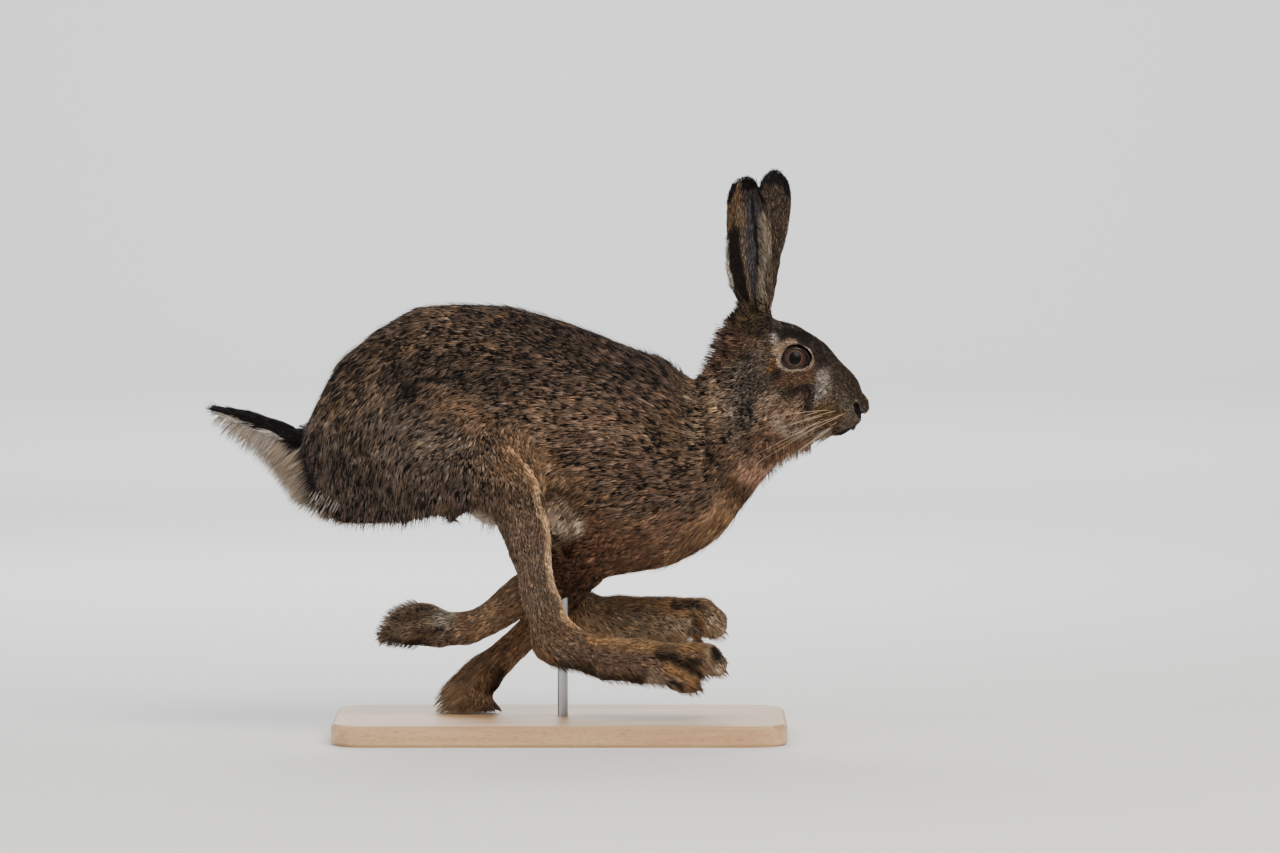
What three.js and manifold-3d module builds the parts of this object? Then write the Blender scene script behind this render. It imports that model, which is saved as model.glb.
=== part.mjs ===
// A life-size brown hare at full run, held over a plain display base by its forepaw and one short rod.
// Millimetres. +X is the way the hare runs, +Y its left side, +Z up. The origin is the middle of
// the base's underside. The hare's own sizes are given from the ground that it runs on.

import * as THREE from "three";
import { mergeVertices } from "three/addons/utils/BufferGeometryUtils.js";
import Module from "manifold-3d";

const wasm = await Module();
wasm.setup();

// Driving dimensions
const GAP = 0.3; // kept between neighbouring solids
const BASE = { length: 344, width: 184, corner: 28, bevel: 2.5, thickness: 16 };
const ROD = { radius: 4, x: 2, top: 152, foot: 8 };
const GROUND = BASE.thickness + GAP;
const EYE = { x: 180, y: 15.4, height: 273, radius: 12.6, long: 11.3, high: 9.1, lid: 1.7 };
const EAR_FOOT = { x: 150, y: 12.5, height: 306 };
const FORELEG_APART = 20; // from the middle plane to each foreleg
const HINDLEG_APART = 48; // from the middle plane to each shank
const THIGH_INSIDE = 17; // from the middle plane to the inner wall of each thigh
const LEFT_FOOT_RISE = 26; // how much higher the left hind foot swings than the right one
const TAIL_ROOT = { x: -196, height: 203 };
const BLEND = { trunk: 26, limb: 16, face: 9, ear: 7, toe: 2.5, paw: 5 };
const CELL = { torso: 14.5, thigh: 13, neck: 12, head: 6.4, shank: 9, foot: 6.1, arm: 8, paw: 5, tail: 7 };

// Fields: functions of a point that are negative inside a form
const lerp = THREE.MathUtils.lerp;
const vec = (x, y, z) => new THREE.Vector3(x, y, z);

// A station of a sweep: its place, then its radii over, under and beside the line.
// Over is above a line that runs forward, and in front of one that runs down.
const at = (x, y, height, over, under, side) => ({ centre: vec(x, y, height), radii: vec(over, under, side) });

// An oval section carried along a smooth line through its stations, with round ends.
function sweep(stations, steps = 5) {
  const line = new THREE.CatmullRomCurve3(stations.map((s) => s.centre), false, "centripetal");
  const radii = new THREE.CatmullRomCurve3(stations.map((s) => s.radii), false, "centripetal");
  const count = (stations.length - 1) * steps + 1;
  const rings = [];
  const reach = new THREE.Box3();
  for (let i = 0; i < count; i++) {
    const t = i / (count - 1);
    const along = line.getTangent(t);
    const beside = vec(0, 1, 0).addScaledVector(along, -along.y).normalize();
    const over = along.clone().cross(beside);
    const c = line.getPoint(t);
    const r = radii.getPoint(t);
    rings.push([c, along, over, beside, r].flatMap((v) => [v.x, v.y, v.z]));
    const widest = Math.max(r.x, r.y, r.z);
    reach.union(new THREE.Box3(c.clone().subScalar(widest), c.clone().addScalar(widest)));
  }
  const ring = new Float64Array(15);
  return (x, y, z) => {
    const far = Math.hypot(
      Math.max(reach.min.x - x, 0, x - reach.max.x),
      Math.max(reach.min.y - y, 0, y - reach.max.y),
      Math.max(reach.min.z - z, 0, z - reach.max.z),
    );
    if (far > BLEND.trunk) return far;
    let best = Infinity;
    let first = 0;
    let share = 0;
    let behind = -1;
    for (let i = 0; i < count; i++) {
      const a = rings[i];
      const ahead = (x - a[0]) * a[3] + (y - a[1]) * a[4] + (z - a[2]) * a[5];
      const atEnd = (i === 0 && ahead < 0) || (i === count - 1 && ahead > 0);
      if (atEnd || (behind >= 0 && ahead <= 0)) {
        const b = rings[Math.max(i - 1, 0)];
        const t = atEnd ? 1 : behind / Math.max(behind - ahead, 1e-9);
        const cx = b[0] + t * (a[0] - b[0]);
        const cy = b[1] + t * (a[1] - b[1]);
        const cz = b[2] + t * (a[2] - b[2]);
        const gone = (x - cx) ** 2 + (y - cy) ** 2 + (z - cz) ** 2;
        if (gone < best) {
          best = gone;
          first = i === 0 ? 0 : i - 1;
          share = i === 0 ? 0 : t;
        }
      }
      behind = ahead;
    }
    for (let k = 0; k < 15; k++) ring[k] = lerp(rings[first][k], rings[first + 1][k], share);
    const vx = x - ring[0];
    const vy = y - ring[1];
    const vz = z - ring[2];
    const along = vx * ring[3] + vy * ring[4] + vz * ring[5];
    const over = vx * ring[6] + vy * ring[7] + vz * ring[8];
    const beside = vx * ring[9] + vy * ring[10] + vz * ring[11];
    const high = over > 0 ? ring[12] : ring[13];
    const end = Math.min(ring[12], ring[13]);
    const scaled = Math.hypot(along / end, over / high, beside / ring[14]);
    const length = Math.hypot(along, over, beside);
    return scaled < 1e-6 ? -Math.min(high, ring[14]) : length * (1 - 1 / scaled);
  };
}

// An ellipsoid, turned by pitch degrees nose down about the left-right axis.
function oval(centre, radii, pitch = 0) {
  const c = Math.cos(THREE.MathUtils.degToRad(pitch));
  const s = Math.sin(THREE.MathUtils.degToRad(pitch));
  return (x, y, z) => {
    const dx = x - centre.x;
    const dz = z - centre.z;
    const u = dx * c - dz * s;
    const v = y - centre.y;
    const w = dx * s + dz * c;
    const scaled = Math.hypot(u / radii.x, v / radii.y, w / radii.z);
    return scaled < 1e-6 ? -Math.min(radii.x, radii.y, radii.z) : Math.hypot(u, v, w) * (1 - 1 / scaled);
  };
}

// The union of two fields, rounded in the corner over a width.
function blend(width, first, ...rest) {
  return rest.reduce(
    (a, b) => (x, y, z) => {
      const da = a(x, y, z);
      const db = b(x, y, z);
      const near = Math.max(width - Math.abs(da - db), 0);
      return Math.min(da, db) - (near * near) / (4 * width);
    },
    first,
  );
}

const either = (...fields) => (x, y, z) => Math.min(...fields.map((f) => f(x, y, z)));
const mirrored = (field) => (x, y, z) => field(x, -y, z);

// A field's closed surface: one vertex for each cell that it crosses, moved onto it.
function polygonise(field, low, high, cell) {
  const size = high.clone().sub(low);
  const n = [size.x, size.y, size.z].map((s) => Math.ceil(s / cell) + 1);
  const value = new Float32Array(n[0] * n[1] * n[2]);
  const index = (i, j, k) => i + n[0] * (j + n[1] * k);
  for (let k = 0; k < n[2]; k++)
    for (let j = 0; j < n[1]; j++)
      for (let i = 0; i < n[0]; i++) {
        const edge = i === 0 || j === 0 || k === 0 || i === n[0] - 1 || j === n[1] - 1 || k === n[2] - 1;
        const d = edge ? cell : field(low.x + i * cell, low.y + j * cell, low.z + k * cell);
        value[index(i, j, k)] = edge ? Math.max(d, 1e-3) : d || 1e-6;
      }
  const step = [1, n[0], n[0] * n[1]];
  fillDiagonals(value, n, step);
  const corners = [0, 1, 2, 3, 4, 5, 6, 7].map((c) => [c & 1, (c >> 1) & 1, c >> 2]);
  const edges = [];
  for (let a = 0; a < 8; a++) for (const bit of [1, 2, 4]) if (!(a & bit)) edges.push([a, a | bit]);
  const vertexOf = new Map();
  const places = [];
  for (let k = 0; k < n[2] - 1; k++)
    for (let j = 0; j < n[1] - 1; j++)
      for (let i = 0; i < n[0] - 1; i++) {
        const d = corners.map(([a, b, c]) => value[index(i + a, j + b, k + c)]);
        if (d.every((v) => v > 0) || d.every((v) => v < 0)) continue;
        const mean = vec(0, 0, 0);
        let crossed = 0;
        for (const [a, b] of edges) {
          if (d[a] > 0 === d[b] > 0) continue;
          const t = d[a] / (d[a] - d[b]);
          mean.add(vec(...corners[a]).lerp(vec(...corners[b]), t));
          crossed++;
        }
        mean.divideScalar(crossed);
        const corner = vec(i, j, k).multiplyScalar(cell).add(low);
        vertexOf.set(index(i, j, k), places.length);
        places.push(settled(field, corner, mean, cell));
      }
  const faces = [];
  for (let k = 0; k < n[2] - 1; k++)
    for (let j = 0; j < n[1] - 1; j++)
      for (let i = 0; i < n[0] - 1; i++) {
        const here = index(i, j, k);
        const inside = value[here] < 0;
        for (let axis = 0; axis < 3; axis++) {
          if (inside === value[here + step[axis]] < 0) continue;
          const u = step[(axis + 1) % 3];
          const v = step[(axis + 2) % 3];
          const quad = [here - u - v, here - v, here, here - u].map((c) => vertexOf.get(c));
          if (!inside) quad.reverse();
          const [a, b, c, d] = quad.map((q) => places[q]);
          if (a.distanceTo(c) < b.distanceTo(d)) faces.push(quad[0], quad[1], quad[2], quad[0], quad[2], quad[3]);
          else faces.push(quad[1], quad[2], quad[3], quad[1], quad[3], quad[0]);
        }
      }
  const g = new THREE.BufferGeometry().setFromPoints(places);
  g.setIndex(faces);
  return g;
}

// Where two samples inside meet only across a cell face's diagonal, one of the others is put
// inside too, so that no edge of the surface is shared by four faces.
function fillDiagonals(value, n, step) {
  let changed = true;
  while (changed) {
    changed = false;
    for (let k = 0; k < n[2] - 1; k++)
      for (let j = 0; j < n[1] - 1; j++)
        for (let i = 0; i < n[0] - 1; i++) {
          const a = i + n[0] * (j + n[1] * k);
          for (const [u, v] of [[step[0], step[1]], [step[1], step[2]], [step[0], step[2]]]) {
            const inside = [a, a + u, a + v, a + u + v].map((c) => value[c] < 0);
            if (inside[0] !== inside[3] || inside[1] !== inside[2] || inside[0] === inside[1]) continue;
            const [p, q] = inside[0] ? [a + u, a + v] : [a, a + u + v];
            value[value[p] < value[q] ? p : q] = -1e-3;
            changed = true;
          }
        }
  }
}

// A place in a cell, moved down the field's slope onto its surface but kept inside the cell.
function settled(field, corner, share, cell) {
  const p = share.clone().multiplyScalar(cell).add(corner);
  const low = corner.clone().addScalar(0.04 * cell);
  const high = corner.clone().addScalar(0.96 * cell);
  const h = 0.05;
  for (let pass = 0; pass < 3; pass++) {
    const d = field(p.x, p.y, p.z);
    const slope = vec(
      field(p.x + h, p.y, p.z) - field(p.x - h, p.y, p.z),
      field(p.x, p.y + h, p.z) - field(p.x, p.y - h, p.z),
      field(p.x, p.y, p.z + h) - field(p.x, p.y, p.z - h),
    ).divideScalar(2 * h);
    p.addScaledVector(slope, -d / Math.max(slope.lengthSq(), 0.2)).clamp(low, high);
  }
  return p;
}

// Solids, for cuts and joins
function solidOf(geometry) {
  const g = geometry.clone();
  g.deleteAttribute("normal");
  g.deleteAttribute("uv");
  const merged = mergeVertices(g, 1e-3);
  return new wasm.Manifold(
    new wasm.Mesh({
      numProp: 3,
      vertProperties: merged.attributes.position.array,
      triVerts: new Uint32Array(merged.index.array),
    }),
  );
}

// The largest closed surface of a solid: sealed hollows are filled and scraps dropped.
function whole(solid) {
  return solid.decompose().sort((a, b) => b.volume() - a.volume())[0];
}

function geometryOf(solid) {
  const m = solid.getMesh();
  const g = new THREE.BufferGeometry();
  const places = new Float32Array(m.numVert * 3);
  for (let i = 0; i < m.numVert; i++) places.set(m.vertProperties.subarray(i * m.numProp, i * m.numProp + 3), i * 3);
  g.setAttribute("position", new THREE.BufferAttribute(places, 3));
  g.setIndex(new THREE.BufferAttribute(m.triVerts, 1));
  return g;
}

// A block that starts at a plane and runs on along towards, grown on every side by more.
function block(cut, more = 0) {
  const reach = cut.reach + more;
  const g = new THREE.BoxGeometry(2 * reach, 2 * reach, cut.depth + more);
  g.translate(0, 0, (cut.depth - more) / 2);
  const towards = cut.towards.clone().normalize();
  g.applyQuaternion(new THREE.Quaternion().setFromUnitVectors(vec(0, 0, 1), towards));
  g.translate(cut.at.x, cut.at.y, cut.at.z);
  return solidOf(g);
}

const takeAll = (solid, cutters) => cutters.reduce((left, c) => left.subtract(c), solid);

// A skin over rings of points, which hold the same even number each. Open ends are closed by
// strips across their rings, so a ring may be C-shaped.
function loft(rings, looped = false) {
  const round = rings[0].length;
  const index = [];
  const last = rings.length - 1;
  for (let i = 0; i < (looped ? rings.length : last); i++) {
    for (let j = 0; j < round; j++) {
      const a = i * round + j;
      const b = i * round + ((j + 1) % round);
      const up = (((i + 1) % rings.length) - i) * round;
      index.push(a, b, b + up, a, b + up, a + up);
    }
  }
  if (!looped) {
    for (let j = 0; j < round / 2 - 1; j++) {
      const [a, b, c, d] = [j, j + 1, round - 2 - j, round - 1 - j];
      const e = last * round;
      index.push(a, c, b, a, d, c, e + a, e + b, e + c, e + a, e + c, e + d);
    }
  }
  const points = rings.flat();
  let volume = 0;
  for (let i = 0; i < index.length; i += 3) {
    volume += points[index[i]].dot(points[index[i + 1]].clone().cross(points[index[i + 2]]));
  }
  if (volume < 0) index.reverse();
  return solidOf(new THREE.BufferGeometry().setFromPoints(points).setIndex(index));
}

// A line of points with an oval section, wide across it and thick along a chosen side.
// width(t) and thick(t) are half-sizes from its root, t = 0, to its tip, t = 1.
function strand(points, side, width, thick, bands, round, looped = false) {
  const path = new THREE.CatmullRomCurve3(points, looped, "centripetal");
  const rings = [];
  for (let i = 0; i < bands + (looped ? 0 : 1); i++) {
    const t = i / bands;
    const centre = path.getPoint(t);
    const along = path.getTangent(t);
    const across = along.clone().cross(side).normalize();
    const flat = across.clone().cross(along);
    const ring = [];
    for (let j = 0; j < round; j++) {
      const a = ((j + 0.5) / round) * Math.PI * 2;
      const w = Math.cos(a) * width(t);
      const h = Math.sin(a) * thick(t);
      ring.push(centre.clone().addScaledVector(across, w).addScaledVector(flat, h));
    }
    rings.push(ring);
  }
  return loft(rings, looped);
}

const groove = (points, r) => strand(points, vec(0, 0.13, 1), () => r, () => r, points.length * 2, 6);

// Trunk, neck and head
const trunk = sweep([
  at(-167, 0, 213, 28, 44, 38), // rump
  at(-135, 0, 237, 49, 62, 48),
  at(-99, 0, 244, 68, 72, 52), // croup
  at(-61, 0, 239, 75, 76, 51), // loins, the top of the arched back
  at(-22, 0, 228, 77, 89, 47), // waist
  at(19, 0, 213, 76, 78, 49),
  at(61, 0, 198, 74, 80, 52), // ribs and breastbone
  at(88, 0, 192, 63, 74, 45), // shoulders
  at(104, 0, 192, 35, 60, 31), // front of the chest
]);
const breast = sweep([
  at(58, 0, 148, 30, 33, 34),
  at(90, 0, 160, 34, 35, 30),
  at(99, 0, 165, 24, 31, 22),
]);
const shoulder = oval(vec(88, -31, 186), vec(30, 21, 46), -24);
const neck = sweep([
  at(98, 0, 205, 46, 57, 36),
  at(120, 0, 221, 31, 54, 31),
  at(137, 0, 242, 33, 54, 26), // throat
  at(150, 0, 264, 32, 46, 23), // nape
]);
const skull = sweep([
  at(146, 0, 277, 24, 34, 20), // back of the skull
  at(166, 0, 269, 31, 42, 22.5), // crown
  at(182, 0, 258, 32, 42, 22.5), // eyes
  at(199, 0, 248, 27, 34, 19.5),
  at(214, 0, 241, 22, 23, 17.5), // muzzle
  at(221, 0, 238, 18.5, 17, 15.5),
  at(225.5, 0, 236, 11.5, 11.5, 11.5), // nose
]);
const jaw = sweep([
  at(178, 0, 227, 14, 20, 14), // angle of the jaw
  at(197, 0, 219, 9, 9.5, 11),
  at(210, 0, 218.5, 5, 5, 8),
  at(217, 0, 219.5, 4, 4, 5.5), // chin
]);
const cheek = oval(vec(169, -12.5, 236), vec(23, 13, 23), 16);
const whiskerPad = oval(vec(212, -8.5, 231.5), vec(14, 9.5, 11.5), 22);
const brow = oval(vec(175, -16, 284.5), vec(14, 7, 5), 24);
const noseWing = oval(vec(228.5, -6.5, 235), vec(7, 4.5, 6.5), 60);
const eyeAt = vec(EYE.x, -EYE.y, EYE.height);
const orbit = oval(eyeAt, vec(EYE.radius + 1.5, EYE.radius + 1.5, EYE.radius + 1.5));
const earOut = vec(-0.035, -0.14, 1).normalize();
const earFoot = vec(EAR_FOOT.x, -EAR_FOOT.y, EAR_FOOT.height);
const earStump = sweep([
  at(earFoot.x + 1, earFoot.y + 3, earFoot.z - 22, 12, 13, 11),
  at(earFoot.x, earFoot.y, earFoot.z, 10.6, 10.6, 10.6),
  at(earFoot.x - 1, earFoot.y - 1.5, earFoot.z + 12, 10.6, 10.6, 10.6),
]);
const pair = (width, middle, side) => blend(width, middle, side, mirrored(side));
let face = pair(BLEND.face, blend(5, skull, jaw), cheek);
face = pair(5, face, whiskerPad);
face = pair(5, face, brow);
face = pair(2.5, face, noseWing);
face = pair(5, face, orbit);
face = pair(BLEND.ear, face, earStump);
const chest = pair(BLEND.limb, blend(BLEND.limb, trunk, breast), shoulder);
const frontBody = blend(BLEND.limb, blend(BLEND.trunk, chest, neck), face);

// A leg's digits. Each is [out from the leg's own middle, knuckle, tip, radius], in side view.
function digits(list, y, side, root) {
  return list.map(([out, knuckle, tip, r]) => {
    const from = vec(root[0], y + side * out * 0.9, root[1]);
    const bend = vec(knuckle[0], y + side * out * 1.05, knuckle[1]);
    const end = vec(tip[0], y + side * out * 1.1, tip[1]);
    const field = sweep([
      at(from.x, from.y, from.z, r, r, r * 0.8),
      at(bend.x, bend.y, bend.z, r, r, r * 0.85),
      at(end.x, end.y, end.z, r * 0.62, r * 0.66, r * 0.58),
    ], 3);
    const way = end.clone().sub(bend).normalize();
    const claw = [0, 0.5, 1].map((t) => end.clone().addScaledVector(way, (t * 0.9 + 0.1) * r - 1));
    claw[2].z -= 1;
    return { field, claw: strand(claw, vec(0, 0, 1), (t) => 1.5 - t * 1.2, (t) => 1.9 - t * 1.5, 2, 4) };
  });
}

// side is -1 for the right leg, which faces the viewer, and 1 for the left.
function hindLeg(side, rise) {
  const y = side * HINDLEG_APART;
  const thigh = sweep([
    at(-155, side * 34, 200, 44, 52, 20), // buttock
    at(-120, side * 39, 203, 50, 55, 25),
    at(-84, side * 42, 206, 48, 59, 25),
    at(-66, side * 43, 201, 40, 58, 23),
    at(-52, side * 44, 194, 32, 48, 20),
    at(-40, side * 45, 186, 24, 24, 16), // knee
  ]);
  const shank = sweep([
    at(-45, side * 45, 190, 24, 26, 17),
    at(-34, y, 163, 26, 20, 15),
    at(-26, y, 137, 22, 17, 13),
    at(-20, y, 110 + rise * 0.4, 17, 13, 11.5), // tendon behind the shank
    at(-13, y, 84 + rise * 0.7, 17, 14, 11),
    at(-4, y, 60 + rise, 17, 15, 12), // hock
  ]);
  const foot = sweep([
    at(-10, y, 56 + rise, 10, 10, 9), // heel
    at(6, y, 53 + rise, 16, 14, 12),
    at(30, y, 47 + rise, 16, 14, 12.5),
    at(61, y, 45 + rise, 16, 16, 14), // instep
    at(85, y, 44 + rise, 16, 17, 15), // ball of the foot
  ]);
  const toes = digits([
    [-11, [110, 51 + rise], [123, 46 + rise], 8],
    [-4, [107, 46 + rise], [118, 40 + rise], 8.5],
    [4, [102, 40 + rise], [112, 33 + rise], 8.5],
    [11, [95, 37 + rise], [104, 29 + rise], 8],
  ], y, side, [84, 44 + rise]);
  const paw = blend(BLEND.toe, foot, ...toes.map((d) => d.field));
  return { thigh, limb: blend(BLEND.limb, thigh, shank, paw), claws: toes.map((d) => d.claw) };
}

function foreLeg(side, bones, palm, root, list) {
  const y = side * FORELEG_APART;
  const station = ([x, height, r, wide]) => at(x, y, height, r, r, wide);
  const toes = digits(list, y, side, root);
  const arm = sweep([at(64, side * 27, 146, 34, 30, 16), ...bones.map(station)]);
  const paw = blend(BLEND.toe, sweep(palm.map(station)), ...toes.map((d) => d.field));
  return { limb: blend(BLEND.paw, arm, paw), claws: toes.map((d) => d.claw) };
}

const hindRight = hindLeg(-1, 0);
const hindLeft = hindLeg(1, LEFT_FOOT_RISE);

// The right foreleg is folded back off the ground. Places are [x, height, radius, half-width].
const foreRight = foreLeg(
  -1,
  [[40, 134, 25, 15], [11, 117, 22, 14], [-14, 102, 19, 12.5], [-33, 90.5, 16, 11.5], [-45, 81, 14.5, 11],
    [-57, 73.5, 13.3, 10.5], [-68, 68.5, 12.3, 10]],
  [[-68, 68.5, 12.3, 10], [-86, 68, 13.5, 11], [-103, 72, 16, 12.5], [-116, 71, 14, 12]],
  [-110, 71],
  [
    [-9, [-120, 72], [-128, 69], 7.5],
    [-3.2, [-123, 69], [-131, 64], 8],
    [3.2, [-123, 68], [-131, 62], 8],
    [9, [-118, 67], [-125, 62], 7.5],
  ],
);

// The left one pushes off the ground.
const foreLeft = foreLeg(
  1,
  [[40, 131, 21, 14], [18, 106, 15, 11.5], [-4, 81, 13, 11], [-22, 64, 12.5, 10.5], [-40, 47, 12.8, 10],
    [-55, 33, 14, 10.5]],
  [[-55, 33, 14, 10.5], [-67, 20, 16.5, 12], [-73, 12, 17, 13.5]],
  [-70, 12],
  [
    [-9.5, [-63, 8], [-56, 6], 7],
    [-3.4, [-58, 7], [-52, 5.5], 7.5],
    [3.4, [-58, 7], [-52, 5.5], 7.5],
    [9.5, [-63, 8], [-56, 6], 7],
  ],
);

const tailCore = sweep([
  at(-178, 0, 196, 16, 20, 14),
  at(-200, 0, 206, 11, 15, 11),
  at(-230, 0, 220, 8, 9, 8),
  at(-254, 0, 231, 5, 5, 5), // last bone of the tail
]);

// Each limb is blended with the trunk alone, so that no two limbs run together. The inner side
// of a thigh is kept off the torso, which has no other part of it.
const outerPart = (limb) => (x, y, z) => limb(x, y, z) + Math.max(2 * THIGH_INSIDE - Math.abs(y), 0);
const body = either(
  ...[foreRight.limb, foreLeft.limb, outerPart(hindRight.limb), outerPart(hindLeft.limb), tailCore].map((limb) =>
    blend(BLEND.limb, frontBody, limb),
  ),
);

// Cuts between the parts: each part starts at the plane and runs on along towards.
const CUTS = {
  neck: { at: vec(117, 0, 200), towards: vec(0.943, 0, 0.33), reach: 120, depth: 200 },
  head: { at: vec(152, 0, 248), towards: vec(0.88, 0, 0.474), reach: 110, depth: 200 },
  tail: { at: vec(TAIL_ROOT.x, 0, TAIL_ROOT.height), towards: vec(-0.93, 0, 0.37), reach: 18, depth: 110 },
  armRight: { at: vec(9, -27, 112), towards: vec(-0.9, 0, -0.44), reach: 26, depth: 170 },
  armLeft: { at: vec(14, 23, 99), towards: vec(-0.74, 0, -0.67), reach: 22, depth: 170 },
  pawRight: { at: vec(-68, -23, 66), towards: vec(-0.98, 0, -0.1), reach: 30, depth: 90 },
  pawLeft: { at: vec(-55, 23, 33), towards: vec(-0.64, 0, -0.76), reach: 50, depth: 90 },
  earRight: { at: earFoot, towards: earOut, reach: 24, depth: 160 },
};
CUTS.earLeft = { ...CUTS.earRight, at: vec(earFoot.x, -earFoot.y, earFoot.z), towards: vec(earOut.x, -earOut.y, earOut.z) };

// The thigh's outline in side view, drawn out sideways from the flank.
function thighRegion(side, more = 0) {
  const outline = new THREE.SplineCurve(
    [
      [-190, 205], [-172, 234], [-138, 258], [-98, 262], [-62, 244], [-34, 216], [-8, 180],
      [12, 130], [-40, 100], [-120, 120], [-186, 150], [-190, 205],
    ].map((p) => new THREE.Vector2(...p)),
  ).getPoints(40);
  outline.pop();
  const count = outline.length;
  const moved = outline.map((p, i) => {
    const way = outline[(i + 1) % count].clone().sub(outline[(i + count - 1) % count]).normalize();
    return new THREE.Vector2(p.x - way.y * more, p.y + way.x * more);
  });
  const depth = 80;
  const g = new THREE.ExtrudeGeometry(new THREE.Shape(moved), { depth, bevelEnabled: false, steps: 1 });
  g.rotateX(Math.PI / 2); // the drawing stands up, and is drawn out towards the right side
  g.translate(0, side > 0 ? THIGH_INSIDE - more + depth : -THIGH_INSIDE + more, 0);
  return solidOf(g);
}

const group = new THREE.Group();
group.position.z = GROUND;
const finish = (color, roughness) => new THREE.MeshStandardMaterial({ color, roughness, metalness: 0 });
const COAT = finish(0x6e5640, 0.9);
const FOOT_FUR = finish(0x77603f, 0.9);
const EAR_FUR = finish(0x4a3d30, 0.9);
const TAIL_FUR = finish(0xcfc6b6, 0.9);
const EYE_BROWN = finish(0x3a1f10, 0.08);

function add(name, solid, material, parent = group) {
  const mesh = new THREE.Mesh(geometryOf(whole(solid)), material);
  mesh.name = name;
  parent.add(mesh);
  return mesh;
}

const made = (field, x, y, z, cell) =>
  solidOf(polygonise(field, vec(x[0], y[0], z[0]), vec(x[1], y[1], z[1]), cell));

// Torso
const rodHole = new THREE.CylinderGeometry(ROD.radius + GAP, ROD.radius + GAP, ROD.top, 16);
rodHole.rotateX(Math.PI / 2);
rodHole.translate(ROD.x, 0, ROD.top / 2 + GAP);
const torso = made(body, [-215, 245], [-82, 82], [-12, 345], CELL.torso);
const torsoCuts = [CUTS.neck, CUTS.tail, CUTS.armRight, CUTS.armLeft].map((cut) => block(cut, GAP));
add("torso", takeAll(torso, [...torsoCuts, thighRegion(-1, GAP), thighRegion(1, GAP), solidOf(rodHole)]), COAT);

// Neck
const neckAll = made(frontBody, [70, 245], [-60, 60], [110, 330], CELL.neck);
add("neck", neckAll.intersect(block(CUTS.neck)).subtract(block(CUTS.head, GAP)), COAT);

// Head, with eyelids, nostrils and the line of the mouth
const onSkin = (x, y, z) => settled(face, vec(x - 5, y - 5, z - 5), vec(0.5, 0.5, 0.5), 10);
function lids(side) {
  const out = vec(0.06, side * 0.985, 0.15).normalize();
  const up = vec(-0.1, 0, 1).addScaledVector(out, -out.z).normalize();
  const fore = vec(1, 0, 0).addScaledVector(out, -out.x).normalize();
  const centre = vec(EYE.x, side * EYE.y, EYE.height);
  const onBall = (angle, grow, radius) => {
    const corner = 1 + 0.09 * Math.max(Math.cos(angle + 0.35), 0) ** 6;
    const a = Math.cos(angle) * EYE.long * grow * corner;
    const b = Math.sin(angle) * EYE.high * grow;
    const c = Math.sqrt(Math.max(radius * radius - a * a - b * b, 1));
    return centre.clone().addScaledVector(fore, a).addScaledVector(up, b).addScaledVector(out, c);
  };
  const angles = [...Array(16).keys()].map((i) => (i / 16) * Math.PI * 2);
  const inner = angles.map((a) => onBall(a, 0.35, EYE.radius).addScaledVector(out, -3));
  const outer = angles.map((a) => onBall(a, 1, EYE.radius).addScaledVector(out, 12));
  const edge = angles.map((a) => onBall(a, 1, EYE.radius + 0.4).addScaledVector(out, -1.5));
  const line = angles.map((a) => onBall(a, 1.1, EYE.radius + 1.5));
  const lid = strand(line, out, () => EYE.lid, () => EYE.lid * 0.8, 18, 6, true);
  return { opening: loft([inner, edge, outer]), lid };
}
const nostril = (side) => [
  groove([[223.5, 10.5, 228.5], [225.5, 10.5, 233], [227.5, 9, 236.5]].map(([x, y, z]) => onSkin(x, side * y, z)), 1.9),
  groove([[227.5, 9, 236.5], [230, 8, 232], [231.5, 5.5, 228.5]].map(([x, y, z]) => onSkin(x, side * y, z)), 1.9),
];
const lipLine = [[202, 12.5, 216], [208, 11.5, 215.7], [214, 9.5, 216.3], [219, 6, 218], [221, 2, 219.5]];
const mouth = groove(
  [...lipLine.map(([x, y, z]) => onSkin(x, -y, z)), ...lipLine.map(([x, y, z]) => onSkin(x, y, z)).reverse()],
  1.1,
);
const philtrum = groove([onSkin(233, 0, 229), onSkin(229, 0, 225), onSkin(222, 0, 220)], 0.9);
const ball = (side, r) =>
  solidOf(new THREE.SphereGeometry(r, 14, 9).translate(EYE.x, side * EYE.y, EYE.height));
let head = made(frontBody, [105, 245], [-42, 42], [185, 330], CELL.head).intersect(block(CUTS.head));
head = takeAll(head, [block(CUTS.earRight, GAP), block(CUTS.earLeft, GAP)]);
for (const side of [-1, 1]) {
  const eye = lids(side);
  head = head.subtract(eye.opening).add(eye.lid).subtract(ball(side, EYE.radius + GAP));
  head = takeAll(head, nostril(side));
}
add("head", takeAll(head, [mouth, philtrum]), COAT);
add("eye_right", ball(-1, EYE.radius), EYE_BROWN);
add("eye_left", ball(1, EYE.radius), EYE_BROWN);

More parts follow.
